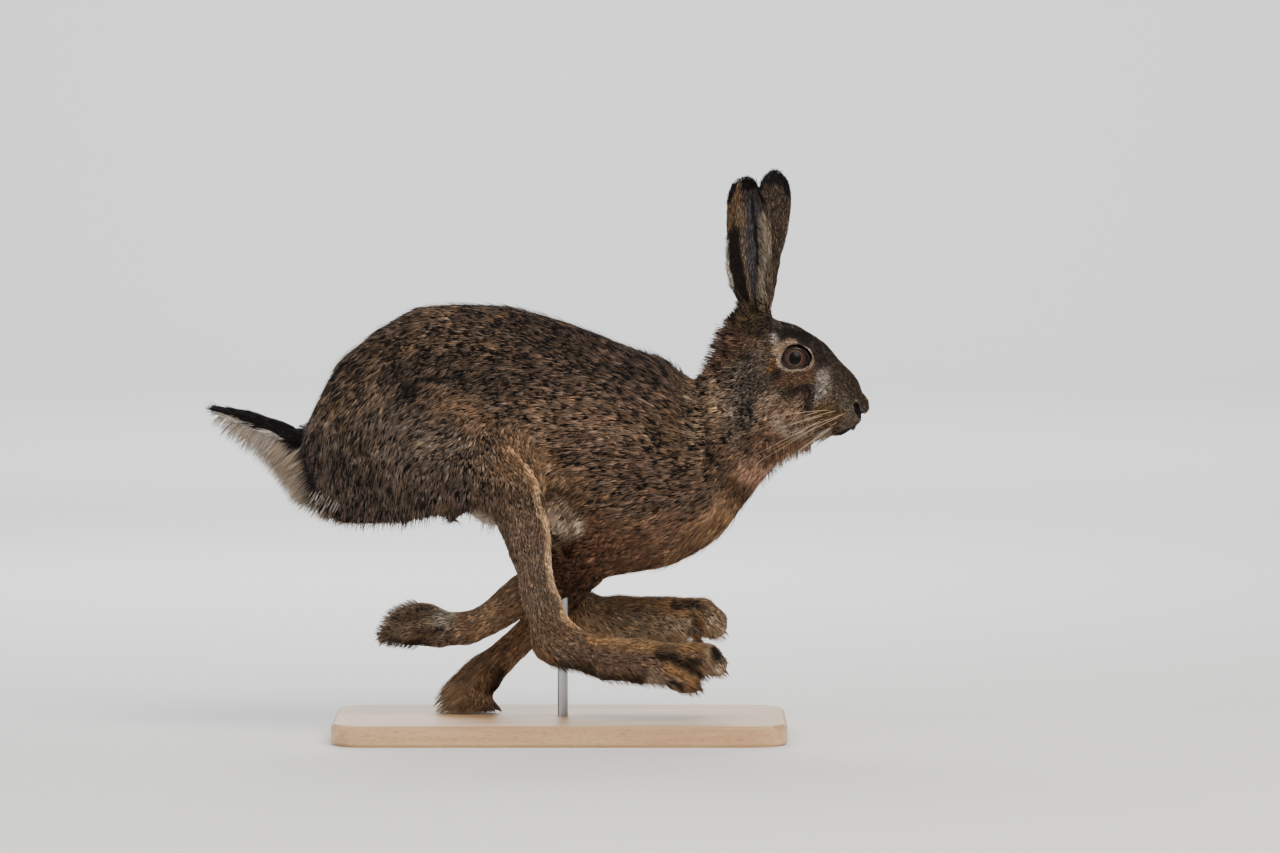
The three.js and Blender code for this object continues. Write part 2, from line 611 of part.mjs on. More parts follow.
// Ears: cups that open outwards and a little back. A place is [x, y, height], a shape is the
// half-length of the section's arc, half the angle that it wraps through, and its thickness.
const EAR_SHAPE = [
  [0, 29.5, 155, 5.5], [0.19, 29.5, 112, 4], [0.38, 27, 88, 3.2], [0.53, 25, 76, 3], [0.72, 22, 70, 2.8],
  [0.86, 16.8, 63, 2.6], [0.94, 12, 58, 2.4], [0.98, 7, 54, 2.2], [1, 2.6, 50, 1.8],
];
function ear(side, places) {
  const line = new THREE.CatmullRomCurve3(places.map((p) => vec(p[0], side * p[1], p[2])));
  const rings = [];
  const steps = [0, 0.08, 0.17, 0.28, 0.4, 0.52, 0.64, 0.76, 0.86, 0.93, 0.98, 1];
  for (const t of steps) {
    const k = Math.max(EAR_SHAPE.findIndex((shape) => shape[0] >= t), 1);
    const [from, to] = [EAR_SHAPE[k - 1], EAR_SHAPE[k]];
    const [, half, wrap, thick] = from.map((v, i) => lerp(v, to[i], (t - from[0]) / (to[0] - from[0])));
    const angle = THREE.MathUtils.degToRad(wrap);
    const r = half / angle;
    const centre = line.getPoint(t);
    const along = t === 0 ? vec(earOut.x, -side * earOut.y, earOut.z) : line.getTangent(t);
    const open = vec(-0.3, side, 0).addScaledVector(along, -along.dot(vec(-0.3, side, 0))).normalize();
    const wide = along.clone().cross(open);
    const arc = (inwards) =>
      [...Array(9).keys()].map((i) => {
        const a = (i / 4 - 1) * angle;
        const rim = 1 - 0.45 * Math.abs(i / 4 - 1) ** 3;
        const reach = r - (inwards ? thick * rim : 0);
        const depth = (r * (1 + Math.cos(angle))) / 2 - reach * Math.cos(a);
        return centre.clone().addScaledVector(open, depth).addScaledVector(wide, reach * Math.sin(a));
      });
    rings.push([...arc(false), ...arc(true).reverse()]);
  }
  return loft(rings);
}
add("ear_right", ear(-1, [
  [EAR_FOOT.x, EAR_FOOT.y, EAR_FOOT.height], [147, 17, 338], [144.5, 22, 370], [143, 27, 397], [143, 29, 409.5],
]), EAR_FUR);
add("ear_left", ear(1, [
  [EAR_FOOT.x, EAR_FOOT.y, EAR_FOOT.height], [152.5, 17, 338], [157, 21, 370], [162.5, 25, 400], [165, 27, 413.5],
]), EAR_FUR);

// Legs
function addHind(name, side, leg, rise) {
  const y = side < 0 ? [-85, -15] : [15, 85];
  const shankCut = { at: vec(-40, side * 60, 168), towards: vec(0.2, 0, -0.98), reach: 120, depth: 190 };
  const footCut = { at: vec(3, side * 60, 62 + rise), towards: vec(0.75, 0, -0.66), reach: 120, depth: 190 };
  const field = blend(BLEND.limb, frontBody, leg.limb);
  const thigh = made(field, [-215, 20], y, [90, 290], CELL.thigh);
  add(name + "_thigh", thigh.intersect(thighRegion(side)).subtract(block(shankCut, GAP)), COAT);
  const shank = made(leg.limb, [-90, 50], y, [30, 200], CELL.shank);
  add(name + "_shank", shank.intersect(block(shankCut)).subtract(block(footCut, GAP)), COAT);
  const foot = made(leg.limb, [-40, 140], y, [rise, 110 + rise], CELL.foot).intersect(block(footCut));
  add(name + "_foot", leg.claws.reduce((solid, claw) => solid.add(claw), foot), FOOT_FUR);
}
addHind("hindleg_right", -1, hindRight, 0);
addHind("hindleg_left", 1, hindLeft, LEFT_FOOT_RISE);

const ground = solidOf(new THREE.BoxGeometry(400, 200, 60).translate(0, 0, -30));
function addFore(name, side, leg, cut, pawCut, x, z) {
  const y = side < 0 ? [-50, 0] : [0, 50];
  const field = blend(BLEND.limb, frontBody, leg.limb);
  const arm = made(field, [-90, 50], y, [10, 150], CELL.arm);
  add(name + "_forearm", arm.intersect(block(cut)).subtract(block(pawCut, GAP)), COAT);
  const paw = made(leg.limb, x, y, z, CELL.paw).intersect(block(pawCut));
  add(name + "_paw", leg.claws.reduce((solid, claw) => solid.add(claw), paw).subtract(ground), FOOT_FUR);
}
addFore("foreleg_right", -1, foreRight, CUTS.armRight, CUTS.pawRight, [-150, -50], [35, 100]);
addFore("foreleg_left", 1, foreLeft, CUTS.armLeft, CUTS.pawLeft, [-100, -20], [-14, 60]);

// Tail: its core, and long locks that hang from it and lie back along it
let seed = 7;
const random = () => (seed = (seed * 16807) % 2147483647) / 2147483647;
const jitter = (size) => (random() - 0.5) * 2 * size;
const FRINGE = [[-274, 231], [-268, 219], [-257, 208], [-244, 195], [-231, 181], [-219, 166], [-203, 157]];
const ROOTS = [[-252, 230], [-238, 222], [-226, 215], [-216, 209], [-209, 204], [-205, 200], [-203, 197]];
const plot = (list) => new THREE.CatmullRomCurve3(list.map(([x, z]) => vec(x, 0, z)));
function lock(root, tip, lift, wide) {
  const middle = root.clone().lerp(tip, 0.55).add(lift);
  const side = vec(0, 1, 0).addScaledVector(lift, 0.1).normalize();
  return strand([root, middle, tip], side, (t) => wide * (1.12 - t ** 2), (t) => 1.3 - t, 3, 4);
}
let tail = made(tailCore, [-275, -150], [-30, 30], [160, 250], CELL.tail).intersect(block(CUTS.tail));
const fringe = plot(FRINGE);
const roots = plot(ROOTS);
for (let i = 0; i < 20; i++) {
  const t = (i + 0.5) / 20;
  const sideways = ((i % 3) - 1) * 5 + jitter(1.5);
  const root = roots.getPoint(t).add(vec(0, sideways * 0.5, 0));
  const reach = i % 3 === 1 ? 1 : 0.86 + jitter(0.06);
  const tip = root.clone().lerp(fringe.getPoint(t), reach).add(vec(0, sideways * 1.3, 0));
  tail = tail.add(lock(root, tip, vec(jitter(1.5), sideways * 0.5, -2), 3.4));
}
for (let i = 0; i < 7; i++) {
  const t = i / 6;
  const root = vec(-206 - 44 * t, jitter(5), 212 + 18 * t);
  const tip = root.clone().add(vec(-27 + 3 * t, jitter(3), 5));
  tail = tail.add(lock(root, tip, vec(0, 0, 2), 3));
}
add("tail", tail, TAIL_FUR);

// Display stand, in the frame of the floor
const stand = new THREE.Group();
function roundedSlab({ length, width, corner, bevel, thickness }) {
  const l = length / 2 - bevel;
  const w = width / 2 - bevel;
  const r = corner - bevel;
  const shape = new THREE.Shape();
  shape.moveTo(-l + r, -w);
  shape.lineTo(l - r, -w).absarc(l - r, -w + r, r, -Math.PI / 2, 0, false);
  shape.lineTo(l, w - r).absarc(l - r, w - r, r, 0, Math.PI / 2, false);
  shape.lineTo(-l + r, w).absarc(-l + r, w - r, r, Math.PI / 2, Math.PI, false);
  shape.lineTo(-l, -w + r).absarc(-l + r, -w + r, r, Math.PI, Math.PI * 1.5, false);
  const g = new THREE.ExtrudeGeometry(shape, {
    depth: thickness - 2 * bevel,
    bevelEnabled: true,
    bevelSize: bevel,
    bevelThickness: bevel,
    bevelSegments: 1,
    curveSegments: 5,
  });
  return g.translate(0, 0, bevel);
}
function upright(radius, bottom, top) {
  const g = new THREE.CylinderGeometry(radius, radius, top - bottom, 16);
  g.rotateX(Math.PI / 2);
  g.translate(ROD.x, 0, (bottom + top) / 2);
  return solidOf(g);
}
const well = upright(ROD.radius + GAP, BASE.thickness - ROD.foot - GAP, BASE.thickness + 40);
add("stand_base", solidOf(roundedSlab(BASE)).subtract(well), finish(0xd8c7a8, 0.5), stand);
const STEEL = finish(0xb9bcc0, 0.3);
STEEL.metalness = 1;
add("stand_rod", upright(ROD.radius, BASE.thickness - ROD.foot, GROUND + ROD.top), STEEL, stand);

const part = new THREE.Group();
part.add(stand, group);

export default part;
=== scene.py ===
# %% [markdown]
# # A brown hare at full run
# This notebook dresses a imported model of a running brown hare. The model's parts are plain solids.
# Here they get one smooth skin, a coat of small solid tufts, eyes, whiskers and claws, and the stand
# gets its wood and steel. Every size comes from the model or is a real size in millimetres.

# %% Load the model that everything is fitted to
import math

import bmesh
import bpy
import numpy as np
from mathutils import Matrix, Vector
from mathutils.kdtree import KDTree


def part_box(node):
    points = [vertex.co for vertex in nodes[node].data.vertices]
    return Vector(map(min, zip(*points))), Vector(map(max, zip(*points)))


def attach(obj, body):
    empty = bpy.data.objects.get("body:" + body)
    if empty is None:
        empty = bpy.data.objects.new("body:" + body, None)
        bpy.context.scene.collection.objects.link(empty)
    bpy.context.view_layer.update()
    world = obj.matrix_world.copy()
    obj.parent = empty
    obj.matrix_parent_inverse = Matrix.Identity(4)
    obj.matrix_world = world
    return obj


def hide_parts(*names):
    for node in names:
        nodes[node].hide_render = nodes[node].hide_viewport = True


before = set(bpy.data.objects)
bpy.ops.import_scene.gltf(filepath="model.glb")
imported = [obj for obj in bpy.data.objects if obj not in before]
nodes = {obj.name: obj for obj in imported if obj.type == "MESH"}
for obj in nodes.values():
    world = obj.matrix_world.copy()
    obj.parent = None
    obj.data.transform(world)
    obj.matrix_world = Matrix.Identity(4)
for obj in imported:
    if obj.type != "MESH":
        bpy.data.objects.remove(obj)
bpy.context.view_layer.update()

# %% [markdown]
# Places are easiest to read in the hare's own space: millimetres, x towards the nose, y to its left
# and height above the ground that it runs on. The ground is the top of the base. Arrays of points
# stay in that space, and one function turns them into metres when a mesh is made.

# %% The hare's own space
MM = 0.001
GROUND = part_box("stand_base")[1].z / MM + 0.3
SIDES = {"right": -1, "left": 1}
chance = np.random.default_rng(11)


def to_hare(points):
    return np.asarray(points, float) / MM - [0, 0, GROUND]


def to_metres(points):
    return (np.asarray(points, float) + [0, 0, GROUND]) * MM


def unit(vectors):
    return vectors / np.maximum(np.linalg.norm(vectors, axis=-1, keepdims=True), 1e-9)


def fade(value, start, end):
    """0 at start, 1 at end, and smooth between them."""
    t = np.clip((value - start) / (end - start), 0, 1)
    return t * t * (3 - 2 * t)


print("ground is", round(GROUND, 2), "mm over the underside of the base")

# %% [markdown]
# ## One skin for all the flesh
# A real hare has one skin, so the separate solids are copied, swollen by a hair's breadth so that
# they overlap, and wrapped in one surface by a voxel remesh. It is the quickest way to a single
# closed mesh, and the small voxels keep the ears' thin rims. The tail's solid carries its locks, so
# the skin gets a plain tail core instead. Claws are thinner than a voxel and fall to crumbs, so only
# the largest island is kept, and the claws are made later.

# %% Gather the solids of flesh
VOXEL = 1.35
SWELL = 0.4
TAIL_BONE = [(-170, 190, 14), (-188, 201, 12.5), (-206, 211.5, 11.5), (-230, 223.5, 8.5), (-256, 231.5, 6),
             (-266, 232.5, 4.5)]
flesh = [name for name in nodes if not name.startswith(("stand", "eye"))]


def read(collection, field, width=3, kind=float):
    values = np.empty(len(collection) * width, kind)
    collection.foreach_get(field, values)
    return values.reshape(-1, width) if width > 1 else values


def tube(places, sides=16):
    """Rings round a line that lies in the middle plane, from (x, height, radius) places."""
    line = np.array(places, float)
    ahead = unit(np.gradient(line[:, :2], axis=0))
    angles = np.linspace(0, math.tau, sides, endpoint=False)
    rings = []
    for (x, height, radius), (dx, dz) in zip(line, ahead):
        up = np.array([-dz, 0, dx])
        ring = np.array([x, 0, height]) + radius * (
            np.outer(np.sin(angles), up) + np.outer(np.cos(angles), [0, 1, 0])
        )
        rings.append(ring)
    return rings


def join_rings(bm, rings):
    """Faces between each ring of points and the next."""
    count = len(rings[0])
    for low, high in zip(rings, rings[1:]):
        for i in range(count):
            j = (i + 1) % count
            bm.faces.new((low[i], low[j], high[j], high[i]))


def add_tube(bm, places):
    """A tube through rings of places, closed at both ends."""
    rings = [[bm.verts.new(to_metres(p)) for p in ring] for ring in places]
    join_rings(bm, rings)
    bm.faces.new(rings[0][::-1])
    bm.faces.new(rings[-1])


joined = bmesh.new()
solid_points = []
solid_names = []
for name in flesh:
    source = nodes[name].data
    solid_points.append(to_hare(read(source.vertices, "co")))
    solid_names += [name] * len(source.vertices)
    if name == "tail":
        continue
    piece = bmesh.new()
    piece.from_mesh(source)
    bmesh.ops.remove_doubles(piece, verts=piece.verts, dist=1e-6)
    piece.normal_update()
    moved = [v.co + v.normal * SWELL * MM for v in piece.verts]
    for vertex, place in zip(piece.verts, moved):
        vertex.co = place
    swollen = bpy.data.meshes.new(name + "_swollen")
    piece.to_mesh(swollen)
    piece.free()
    joined.from_mesh(swollen)
    bpy.data.meshes.remove(swollen)
add_tube(joined, tube(TAIL_BONE))
bmesh.ops.recalc_face_normals(joined, faces=joined.faces)
rough = bpy.data.meshes.new("rough_flesh")
joined.to_mesh(rough)
joined.free()
print(len(flesh), "solids gathered,", len(rough.polygons), "faces")

# %% Wrap them in one surface
wrap = bpy.data.objects.new("wrap", rough)
bpy.context.scene.collection.objects.link(wrap)
remesh = wrap.modifiers.new("one surface", "REMESH")
remesh.mode = "VOXEL"
remesh.voxel_size = VOXEL * MM
graph = bpy.context.evaluated_depsgraph_get()
skin_mesh = bpy.data.meshes.new_from_object(wrap.evaluated_get(graph))
skin_mesh.name = "skin"
bpy.data.objects.remove(wrap)


def islands(count, edges):
    """A number for each point that is the same all over one connected piece."""
    label = np.arange(count)
    while True:
        low = np.minimum(label[edges[:, 0]], label[edges[:, 1]])
        lower = label.copy()
        np.minimum.at(lower, edges[:, 0], low)
        np.minimum.at(lower, edges[:, 1], low)
        lower = lower[lower]
        if (lower == label).all():
            return label
        label = lower


island = islands(len(skin_mesh.vertices), read(skin_mesh.edges, "vertices", 2, np.int32))
largest = np.bincount(island).argmax()
cleaned = bmesh.new()
cleaned.from_mesh(skin_mesh)
cleaned.verts.ensure_lookup_table()
loose = [cleaned.verts[i] for i in np.flatnonzero(island != largest)]
bmesh.ops.delete(cleaned, geom=loose, context="VERTS")
cleaned.to_mesh(skin_mesh)
cleaned.free()
skin_points = to_hare(read(skin_mesh.vertices, "co"))
skin_edges = read(skin_mesh.edges, "vertices", 2, np.int32)
crumbs = int((island != largest).sum())
print("skin has", len(skin_points), "points, and", crumbs, "in crumbs of claw were left out")

# %% [markdown]
# Each point of the skin is told which solid it came from. That says how strongly it may be smoothed:
# the flat facets of the trunk need a lot, while toes, lids and ear rims must keep their shape. The
# shares are blurred over the seams, so that no step shows where one part ends.

# %% Know each point's part and smooth the facets away
nearest = KDTree(len(solid_names))
for i, place in enumerate(np.concatenate(solid_points)):
    nearest.insert(place, i)
nearest.balance()
origin = np.array([nearest.find(p)[1] for p in skin_points])
part_names = sorted(set(solid_names))
part_of_solid = np.array([part_names.index(name) for name in solid_names])
skin_part = part_of_solid[origin]

SMOOTHING = {"torso": 1, "neck": 1, "thigh": 1, "shank": 0.5, "forearm": 0.5, "foot": 0.16,
             "paw": 0.12, "head": 0.16, "tail": 0.6, "ear": 0.06}
SMOOTH_PULL = 0.6
SMOOTH_STEPS = 60
SEAM_STEPS = 12


def relax(points, edges, share, steps):
    """Moves each point towards the middle of its neighbours, by its own share of the way."""
    a, b = edges.T
    size = len(points)
    neighbours = np.bincount(a, minlength=size) + np.bincount(b, minlength=size)
    for _ in range(steps):
        total = np.stack([
            np.bincount(a, points[b, axis], size) + np.bincount(b, points[a, axis], size)
            for axis in range(points.shape[1])
        ], 1)
        points = points + share[:, None] * (total / neighbours[:, None] - points)
    return points


def share_for(name):
    return next(value for word, value in SMOOTHING.items() if word in name)


part_share = np.array([share_for(name) for name in part_names])
half = np.full(len(skin_points), 0.5)
softness = relax(part_share[skin_part][:, None], skin_edges, half, SEAM_STEPS)[:, 0]
skin_points = relax(skin_points, skin_edges, softness * SMOOTH_PULL, SMOOTH_STEPS)
print("smoothed", {name: int((skin_part == i).sum()) for i, name in enumerate(part_names)})

# %% [markdown]
# The ears' outlines are tuned a little, about a middle line of heights and x places. The left one is
# turned further from the side view, so its tip is narrower at the rear and its front swells below the
# tip. The right one narrows in front of its tip, and both swell behind, low down.

# %% Tune the ears' outlines
EAR_FOOT = 308
LEFT_MIDDLE = ([306, 370, 400, 413.5], [150, 157, 162.5, 165])
RIGHT_MIDDLE = ([306, 338, 370, 397], [150, 147, 144.5, 143])
REAR_SWELL = 0.22
LEFT_TIP_NARROWER = 0.32
RIGHT_TIP_NARROWER = 0.3
LEFT_FRONT_SWELL = 0.12


def tune_ears(points):
    """Widens or narrows each ear about its middle line, as shares of its half width."""
    x, y, height = points.T.copy()
    ear = height > EAR_FOOT
    left = ear & (y > 5)
    right = ear & (y < -5)
    middle = np.where(left, np.interp(height, *LEFT_MIDDLE), np.interp(height, *RIGHT_MIDDLE))
    behind = np.minimum(x - middle, 0)
    front = np.maximum(x - middle, 0)
    low = fade(height, EAR_FOOT, 326) * (1 - fade(height, 334, 368))
    points[:, 0] += behind * (REAR_SWELL * low * ear - LEFT_TIP_NARROWER * fade(height, 372, 396) * left)
    points[:, 0] -= front * RIGHT_TIP_NARROWER * fade(height, 384, 402) * right
    bulge = fade(height, 345, 368) * (1 - fade(height, 386, 408)) * left
    points[:, 0] += front * LEFT_FRONT_SWELL * bulge


tune_ears(skin_points)
print("ears tuned")

# %% [markdown]
# A hare's hind foot ends in four furry toes, the middle two longer, and the fur is so deep that each
# is a soft round form. The front of each foot is drawn onto a soft union of tapered rods: every point
# of the skin moves along the slope of its distance to that union, until the distance is nil. Places
# are x, distance out from the middle of the foot, height and radius. The left foot is held higher.

# %% Round the hind feet
LEFT_FOOT_RISE = 23
FOOT_APART = 48
FOOT_FORMS = {
    -1: [
        [(26, -1.5, 47.5, 15), (60, -1.5, 45.5, 15.5), (82, -1.5, 43, 15)],
        [(26, 1.5, 47.5, 15), (60, 1.5, 45.5, 15.5), (82, 1.5, 43, 15)],
        [(80, 9, 40, 10), (93, 11, 30.5, 9.3), (99, 12, 29.5, 7.5)],
        [(78, 4, 47, 11.5), (99, 5, 48.5, 10.5), (103.5, 5, 43, 8.5)],
        [(96, -3, 50, 10.5), (112, -3.5, 48, 10), (118, -3.5, 43, 9.3)],
        [(80, -9, 46, 10), (92, -11, 45.5, 9.5), (99, -12, 43, 8.5)],
    ],
    1: [
        [(-2, -1.5, 48, 15), (16, -1.5, 47, 16), (44, -1.5, 45.5, 18), (80, -1.5, 45.5, 17.5)],
        [(-2, 1.5, 48, 15), (16, 1.5, 47, 16), (44, 1.5, 45.5, 18), (80, 1.5, 45.5, 17.5)],
        [(80, 9, 40, 10), (93, 11, 32, 9.3), (99, 12, 30, 7.5)],
        [(78, 4, 50, 12), (99, 5, 50, 11), (104, 5, 45, 9)],
        [(88, -2, 51.5, 12), (107, -3, 50.5, 12.5), (115.5, -3.5, 44.5, 13)],
        [(78, -9, 44, 11), (91, -12, 43.5, 11), (97.5, -13, 41.5, 10)],
    ],
}
FORM_START = {-1: (24, 50), 1: (-4, 18)}
UNION_SOFT = 1.3
DRAW_STEPS = 14
DRAW_MOST = 2.5


def union_gap(points, forms, soft):
    """How far outside a soft union of tapered rods each point is. It is negative inside."""
    total = np.zeros(len(points))
    for line in forms:
        places = np.array(line, float)
        for a, b in zip(places, places[1:]):
            step = b[:3] - a[:3]
            t = np.clip((points - a[:3]) @ step / (step @ step), 0, 1)
            gap = np.linalg.norm(points - a[:3] - t[:, None] * step, axis=1) - a[3] - (b[3] - a[3]) * t
            total += np.exp(-np.clip(gap, -30, 60) / soft)
    return -soft * np.log(np.maximum(total, 1e-30))


def draw_onto(points, forms, soft, share):
    """Moves points to the surface of the union, each by its own share of the way."""
    for _ in range(DRAW_STEPS):
        gap = union_gap(points, forms, soft)
        slope = np.stack([union_gap(points + step, forms, soft) - gap for step in np.eye(3) * 0.1], 1)
        points = points - unit(slope) * (np.clip(gap, -DRAW_MOST, DRAW_MOST) * share)[:, None]
    return points


def foot_points(side):
    """Which skin points are on the front of one hind foot, and their places from its middle."""
    name = "hindleg_right_foot" if side < 0 else "hindleg_left_foot"
    in_front = skin_points[:, 0] > FORM_START[side][0]
    own = np.flatnonzero((skin_part == part_names.index(name)) & in_front)
    middle = np.array([0, FOOT_APART, LEFT_FOOT_RISE * (side > 0)])
    return own, skin_points[own] * [1, side, 1] - middle, middle


for side in (-1, 1):
    own, local, middle = foot_points(side)
    local = draw_onto(local, FOOT_FORMS[side], UNION_SOFT, fade(local[:, 0], *FORM_START[side]))
    skin_points[own] = (local + middle) * [1, side, 1]
feet = np.char.endswith(np.array(part_names), "foot")[skin_part] & (skin_points[:, 0] > -4)
skin_points = relax(skin_points, skin_edges, feet * 0.25, 3)
print("hind feet rounded,", int(feet.sum()), "points")

# %% [markdown]
# Claws left short stubs on the forepaws too. They are drawn back to the round tip of each toe, and
# real claws are set on the tips later. A front toe is known by how far it stands out from the middle
# of its paw, its knuckle and its tip in the side view, and its radius.

# %% Round off the front toes
RIGHT_TOES = [
    (-9, (-120, 72), (-128, 69), 7.5), (-3.2, (-123, 69), (-131, 64), 8),
    (3.2, (-123, 68), (-131, 62), 8), (9, (-118, 67), (-125, 62), 7.5),
]
LEFT_TOES = [
    (-9.5, (-63, 8), (-56, 6), 7), (-3.4, (-58, 7), (-52, 5.5), 7.5),
    (3.4, (-58, 7), (-52, 5.5), 7.5), (9.5, (-63, 8), (-56, 6), 7),
]
PAW_APART = 20
STUB_WIDE = 2.8
STUB_LONG = 9


def front_toes():
    """Every front toe as its tip, the way it points and the radius of its tip."""
    rows = []
    for side, digits in ((-1, RIGHT_TOES), (1, LEFT_TOES)):
        for out, knuckle, tip, radius in digits:
            bend = np.array([knuckle[0], side * (PAW_APART + out * 1.05), knuckle[1]])
            end = np.array([tip[0], side * (PAW_APART + out * 1.1), tip[1]])
            rows.append((end, unit(end - bend), radius * 0.64))
    return rows


def hind_toes():
    rows = []
    for side, rise in ((-1, 0), (1, LEFT_FOOT_RISE)):
        for line in FOOT_FORMS[side][2:]:
            places = np.array(line, float)
            knuckle, tip = (places[-2:, :3] + [0, FOOT_APART, rise]) * [1, side, 1]
            rows.append((tip, unit(tip - knuckle + [6, 0, -2]), places[-1, 3]))
    return rows


for end, way, radius in front_toes():
    v = skin_points - end
    distance = np.linalg.norm(v, axis=1)
    ahead = v @ way
    beside = np.linalg.norm(v - ahead[:, None] * way, axis=1)
    stub = (ahead > 0) & (beside < STUB_WIDE) & (distance > radius) & (distance < radius + STUB_LONG)
    skin_points[stub] = end + v[stub] / distance[stub, None] * radius
TOES = front_toes() + hind_toes()
print(len(TOES), "toes")

# %% [markdown]
# ## Which way the hair lies
# A groomer combs a coat with a few strokes, and the hair between them follows. Each guide below is
# one such stroke: a place on the right side, the way the hair points there, and its length in
# millimetres. Guides on the trunk, head and hind legs are mirrored, and a last number says how far a
# stroke on the left hind leg goes up with its foot. The forelegs have their own on each side, because
# they are in different places.

# %% Comb strokes
BOTH_SIDES = [
    # nose, muzzle and chin
    (228, -4, 240, -0.6, 0, 0.8, 2.6), (216, -6, 256, -0.72, 0, 0.7, 3.0),
    (222, -13, 234, -0.9, -0.2, 0.2, 2.8), (214, -15, 230, -0.95, -0.1, -0.15, 3.4),
    (213, -13, 221, -0.85, -0.1, -0.5, 3.6), (203, -15, 228, -0.95, 0, -0.3, 4.4),
    (208, -6, 214, -0.9, 0, -0.35, 4.2), (196, -12, 212, -0.9, 0, -0.4, 6.0),
    # bridge of the nose, forehead and crown
    (204, -6, 270, -0.75, 0, 0.66, 3.6), (192, -8, 284, -0.85, 0, 0.5, 4.4),
    (176, -8, 297, -0.95, 0, 0.25, 5.2), (160, -6, 304, -1, 0, -0.1, 6.0),
    # round the eye
    (199, -19, 262, -0.8, -0.15, 0.5, 3.4), (194, -20, 278, -0.8, 0, 0.6, 2.8),
    (180, -21, 287, -0.95, 0, 0.25, 2.8), (166, -23, 281, -0.95, 0, -0.1, 3.4),
    (165, -25, 268, -0.95, 0, -0.25, 3.6), (180, -25, 259, -0.95, 0, -0.2, 3.2),
    # cheek, jaw and the side of the neck
    (203, -17, 247, -0.75, 0, -0.6, 4.4), (186, -23, 246, -0.85, 0, -0.45, 4.8),
    (170, -27, 240, -0.85, 0, -0.5, 5.8), (155, -27, 262, -0.8, 0, -0.55, 6.4),
    (152, -24, 240, -0.85, 0, -0.5, 7.0), (180, -20, 222, -0.9, 0, -0.45, 7.5),
    (168, -8, 207, -0.82, 0, -0.57, 11), (146, -12, 290, -0.65, -0.1, -0.75, 7.0),
    (138, -4, 282, -0.86, 0, -0.5, 9.5), (128, -6, 264, -0.9, 0, -0.4, 10),
    (130, -26, 245, -0.9, 0, -0.4, 9), (122, -30, 222, -0.95, 0, -0.25, 10.5),
    (150, -10, 182, -0.8, 0, -0.6, 12), (130, -28, 195, -0.9, 0, -0.42, 11.5),
    # back, from the withers to the rump
    (104, -8, 252, -0.9, 0, 0.42, 14), (85, -12, 266, -0.92, 0, 0.4, 14),
    (40, -12, 284, -0.94, 0, 0.3, 13), (0, -14, 300, -0.96, 0, 0.22, 13),
    (-60, -14, 313, -1, 0, -0.02, 13), (-110, -14, 308, -0.93, 0, -0.36, 13),
    (-150, -14, 284, -0.75, 0, -0.66, 13), (-178, -14, 250, -0.3, 0, -0.95, 12),
    (-192, -12, 215, -0.1, 0, -1, 12),
    # shoulder, flank and belly
    (95, -44, 215, -0.95, 0, 0.2, 11), (92, -48, 185, -0.98, 0, 0.0, 11),
    (60, -46, 240, -0.95, 0, 0.25, 12), (50, -54, 200, -0.98, 0, 0.05, 11.5),
    (10, -48, 245, -0.98, 0, 0.08, 12), (10, -52, 205, -0.98, 0, -0.1, 12),
    (-30, -52, 250, -0.98, 0, -0.1, 12), (0, -48, 178, -0.75, 0, -0.66, 13),
    (-2, -42, 150, -0.4, 0, -0.9, 14), (55, -50, 160, -0.95, 0, -0.25, 12),
    (30, -20, 128, -0.95, 0, -0.25, 13), (-40, -20, 142, -1, 0, 0, 13),
    (100, -38, 165, -0.88, 0, -0.45, 12), (126, -14, 148, -0.85, 0, -0.52, 12.5),
    (95, -8, 124, -0.92, 0, -0.35, 12), (-100, -16, 165, -0.95, 0, 0.1, 14),
    (-160, -14, 178, -0.6, 0, -0.6, 18),
    # thigh
    (-60, -60, 240, -0.9, 0, -0.35, 11), (-100, -62, 250, -0.8, 0, -0.6, 11),
    (-145, -55, 240, -0.35, 0, -0.93, 12), (-175, -45, 215, -0.1, 0, -1, 12),
    (-90, -68, 215, -0.8, 0, -0.45, 9.5), (-130, -64, 200, -0.3, 0, -0.95, 11),
    (-170, -48, 180, -0.2, 0, -0.97, 13), (-120, -60, 165, -0.1, 0, -1, 12.5),
    (-85, -64, 180, -0.25, 0, -0.95, 11), (-75, -60, 158, -0.1, 0, -1, 12),
    (-62, -66, 222, -0.5, 0, -0.8, 7.5), (-48, -64, 208, 0.25, 0, -0.95, 6),
    (-33, -62, 192, 0.35, 0, -0.93, 5),
]
HIND_LEG = [
    (-48, -62, 178, 0.0, 0, -1, 8, 0), (-22, -60, 172, 0.2, 0, -0.98, 5, 0),
    (-50, -60, 145, 0.2, 0, -0.98, 8, 0.1), (-15, -60, 140, 0.12, 0, -0.99, 4.6, 0.1),
    (-40, -58, 115, 0.15, 0, -0.99, 6, 0.4), (-8, -58, 105, 0.2, 0, -0.98, 4.2, 0.5),
    (-26, -58, 82, 0.1, 0, -0.99, 5.4, 0.8), (0, -58, 80, 0.6, 0, -0.8, 4.2, 0.8),
    (-18, -56, 56, 0.3, 0, -0.95, 6.5, 1), (8, -60, 52, 0.85, 0, -0.5, 5, 1),
    (40, -60, 48, 0.95, 0, -0.3, 5, 1), (60, -48, 60, 0.98, 0, -0.05, 4.4, 1),
    (75, -62, 42, 0.95, 0, -0.3, 5.6, 1), (102, -58, 45, 0.85, 0, -0.5, 5.4, 1),
    (118, -52, 40, 0.6, 0, -0.8, 5, 1), (100, -50, 30, 0.8, 0, -0.6, 6.5, 1),
    (60, -50, 32, 0.9, 0, -0.42, 7, 1), (20, -50, 38, 0.85, 0, -0.5, 7, 1),
]
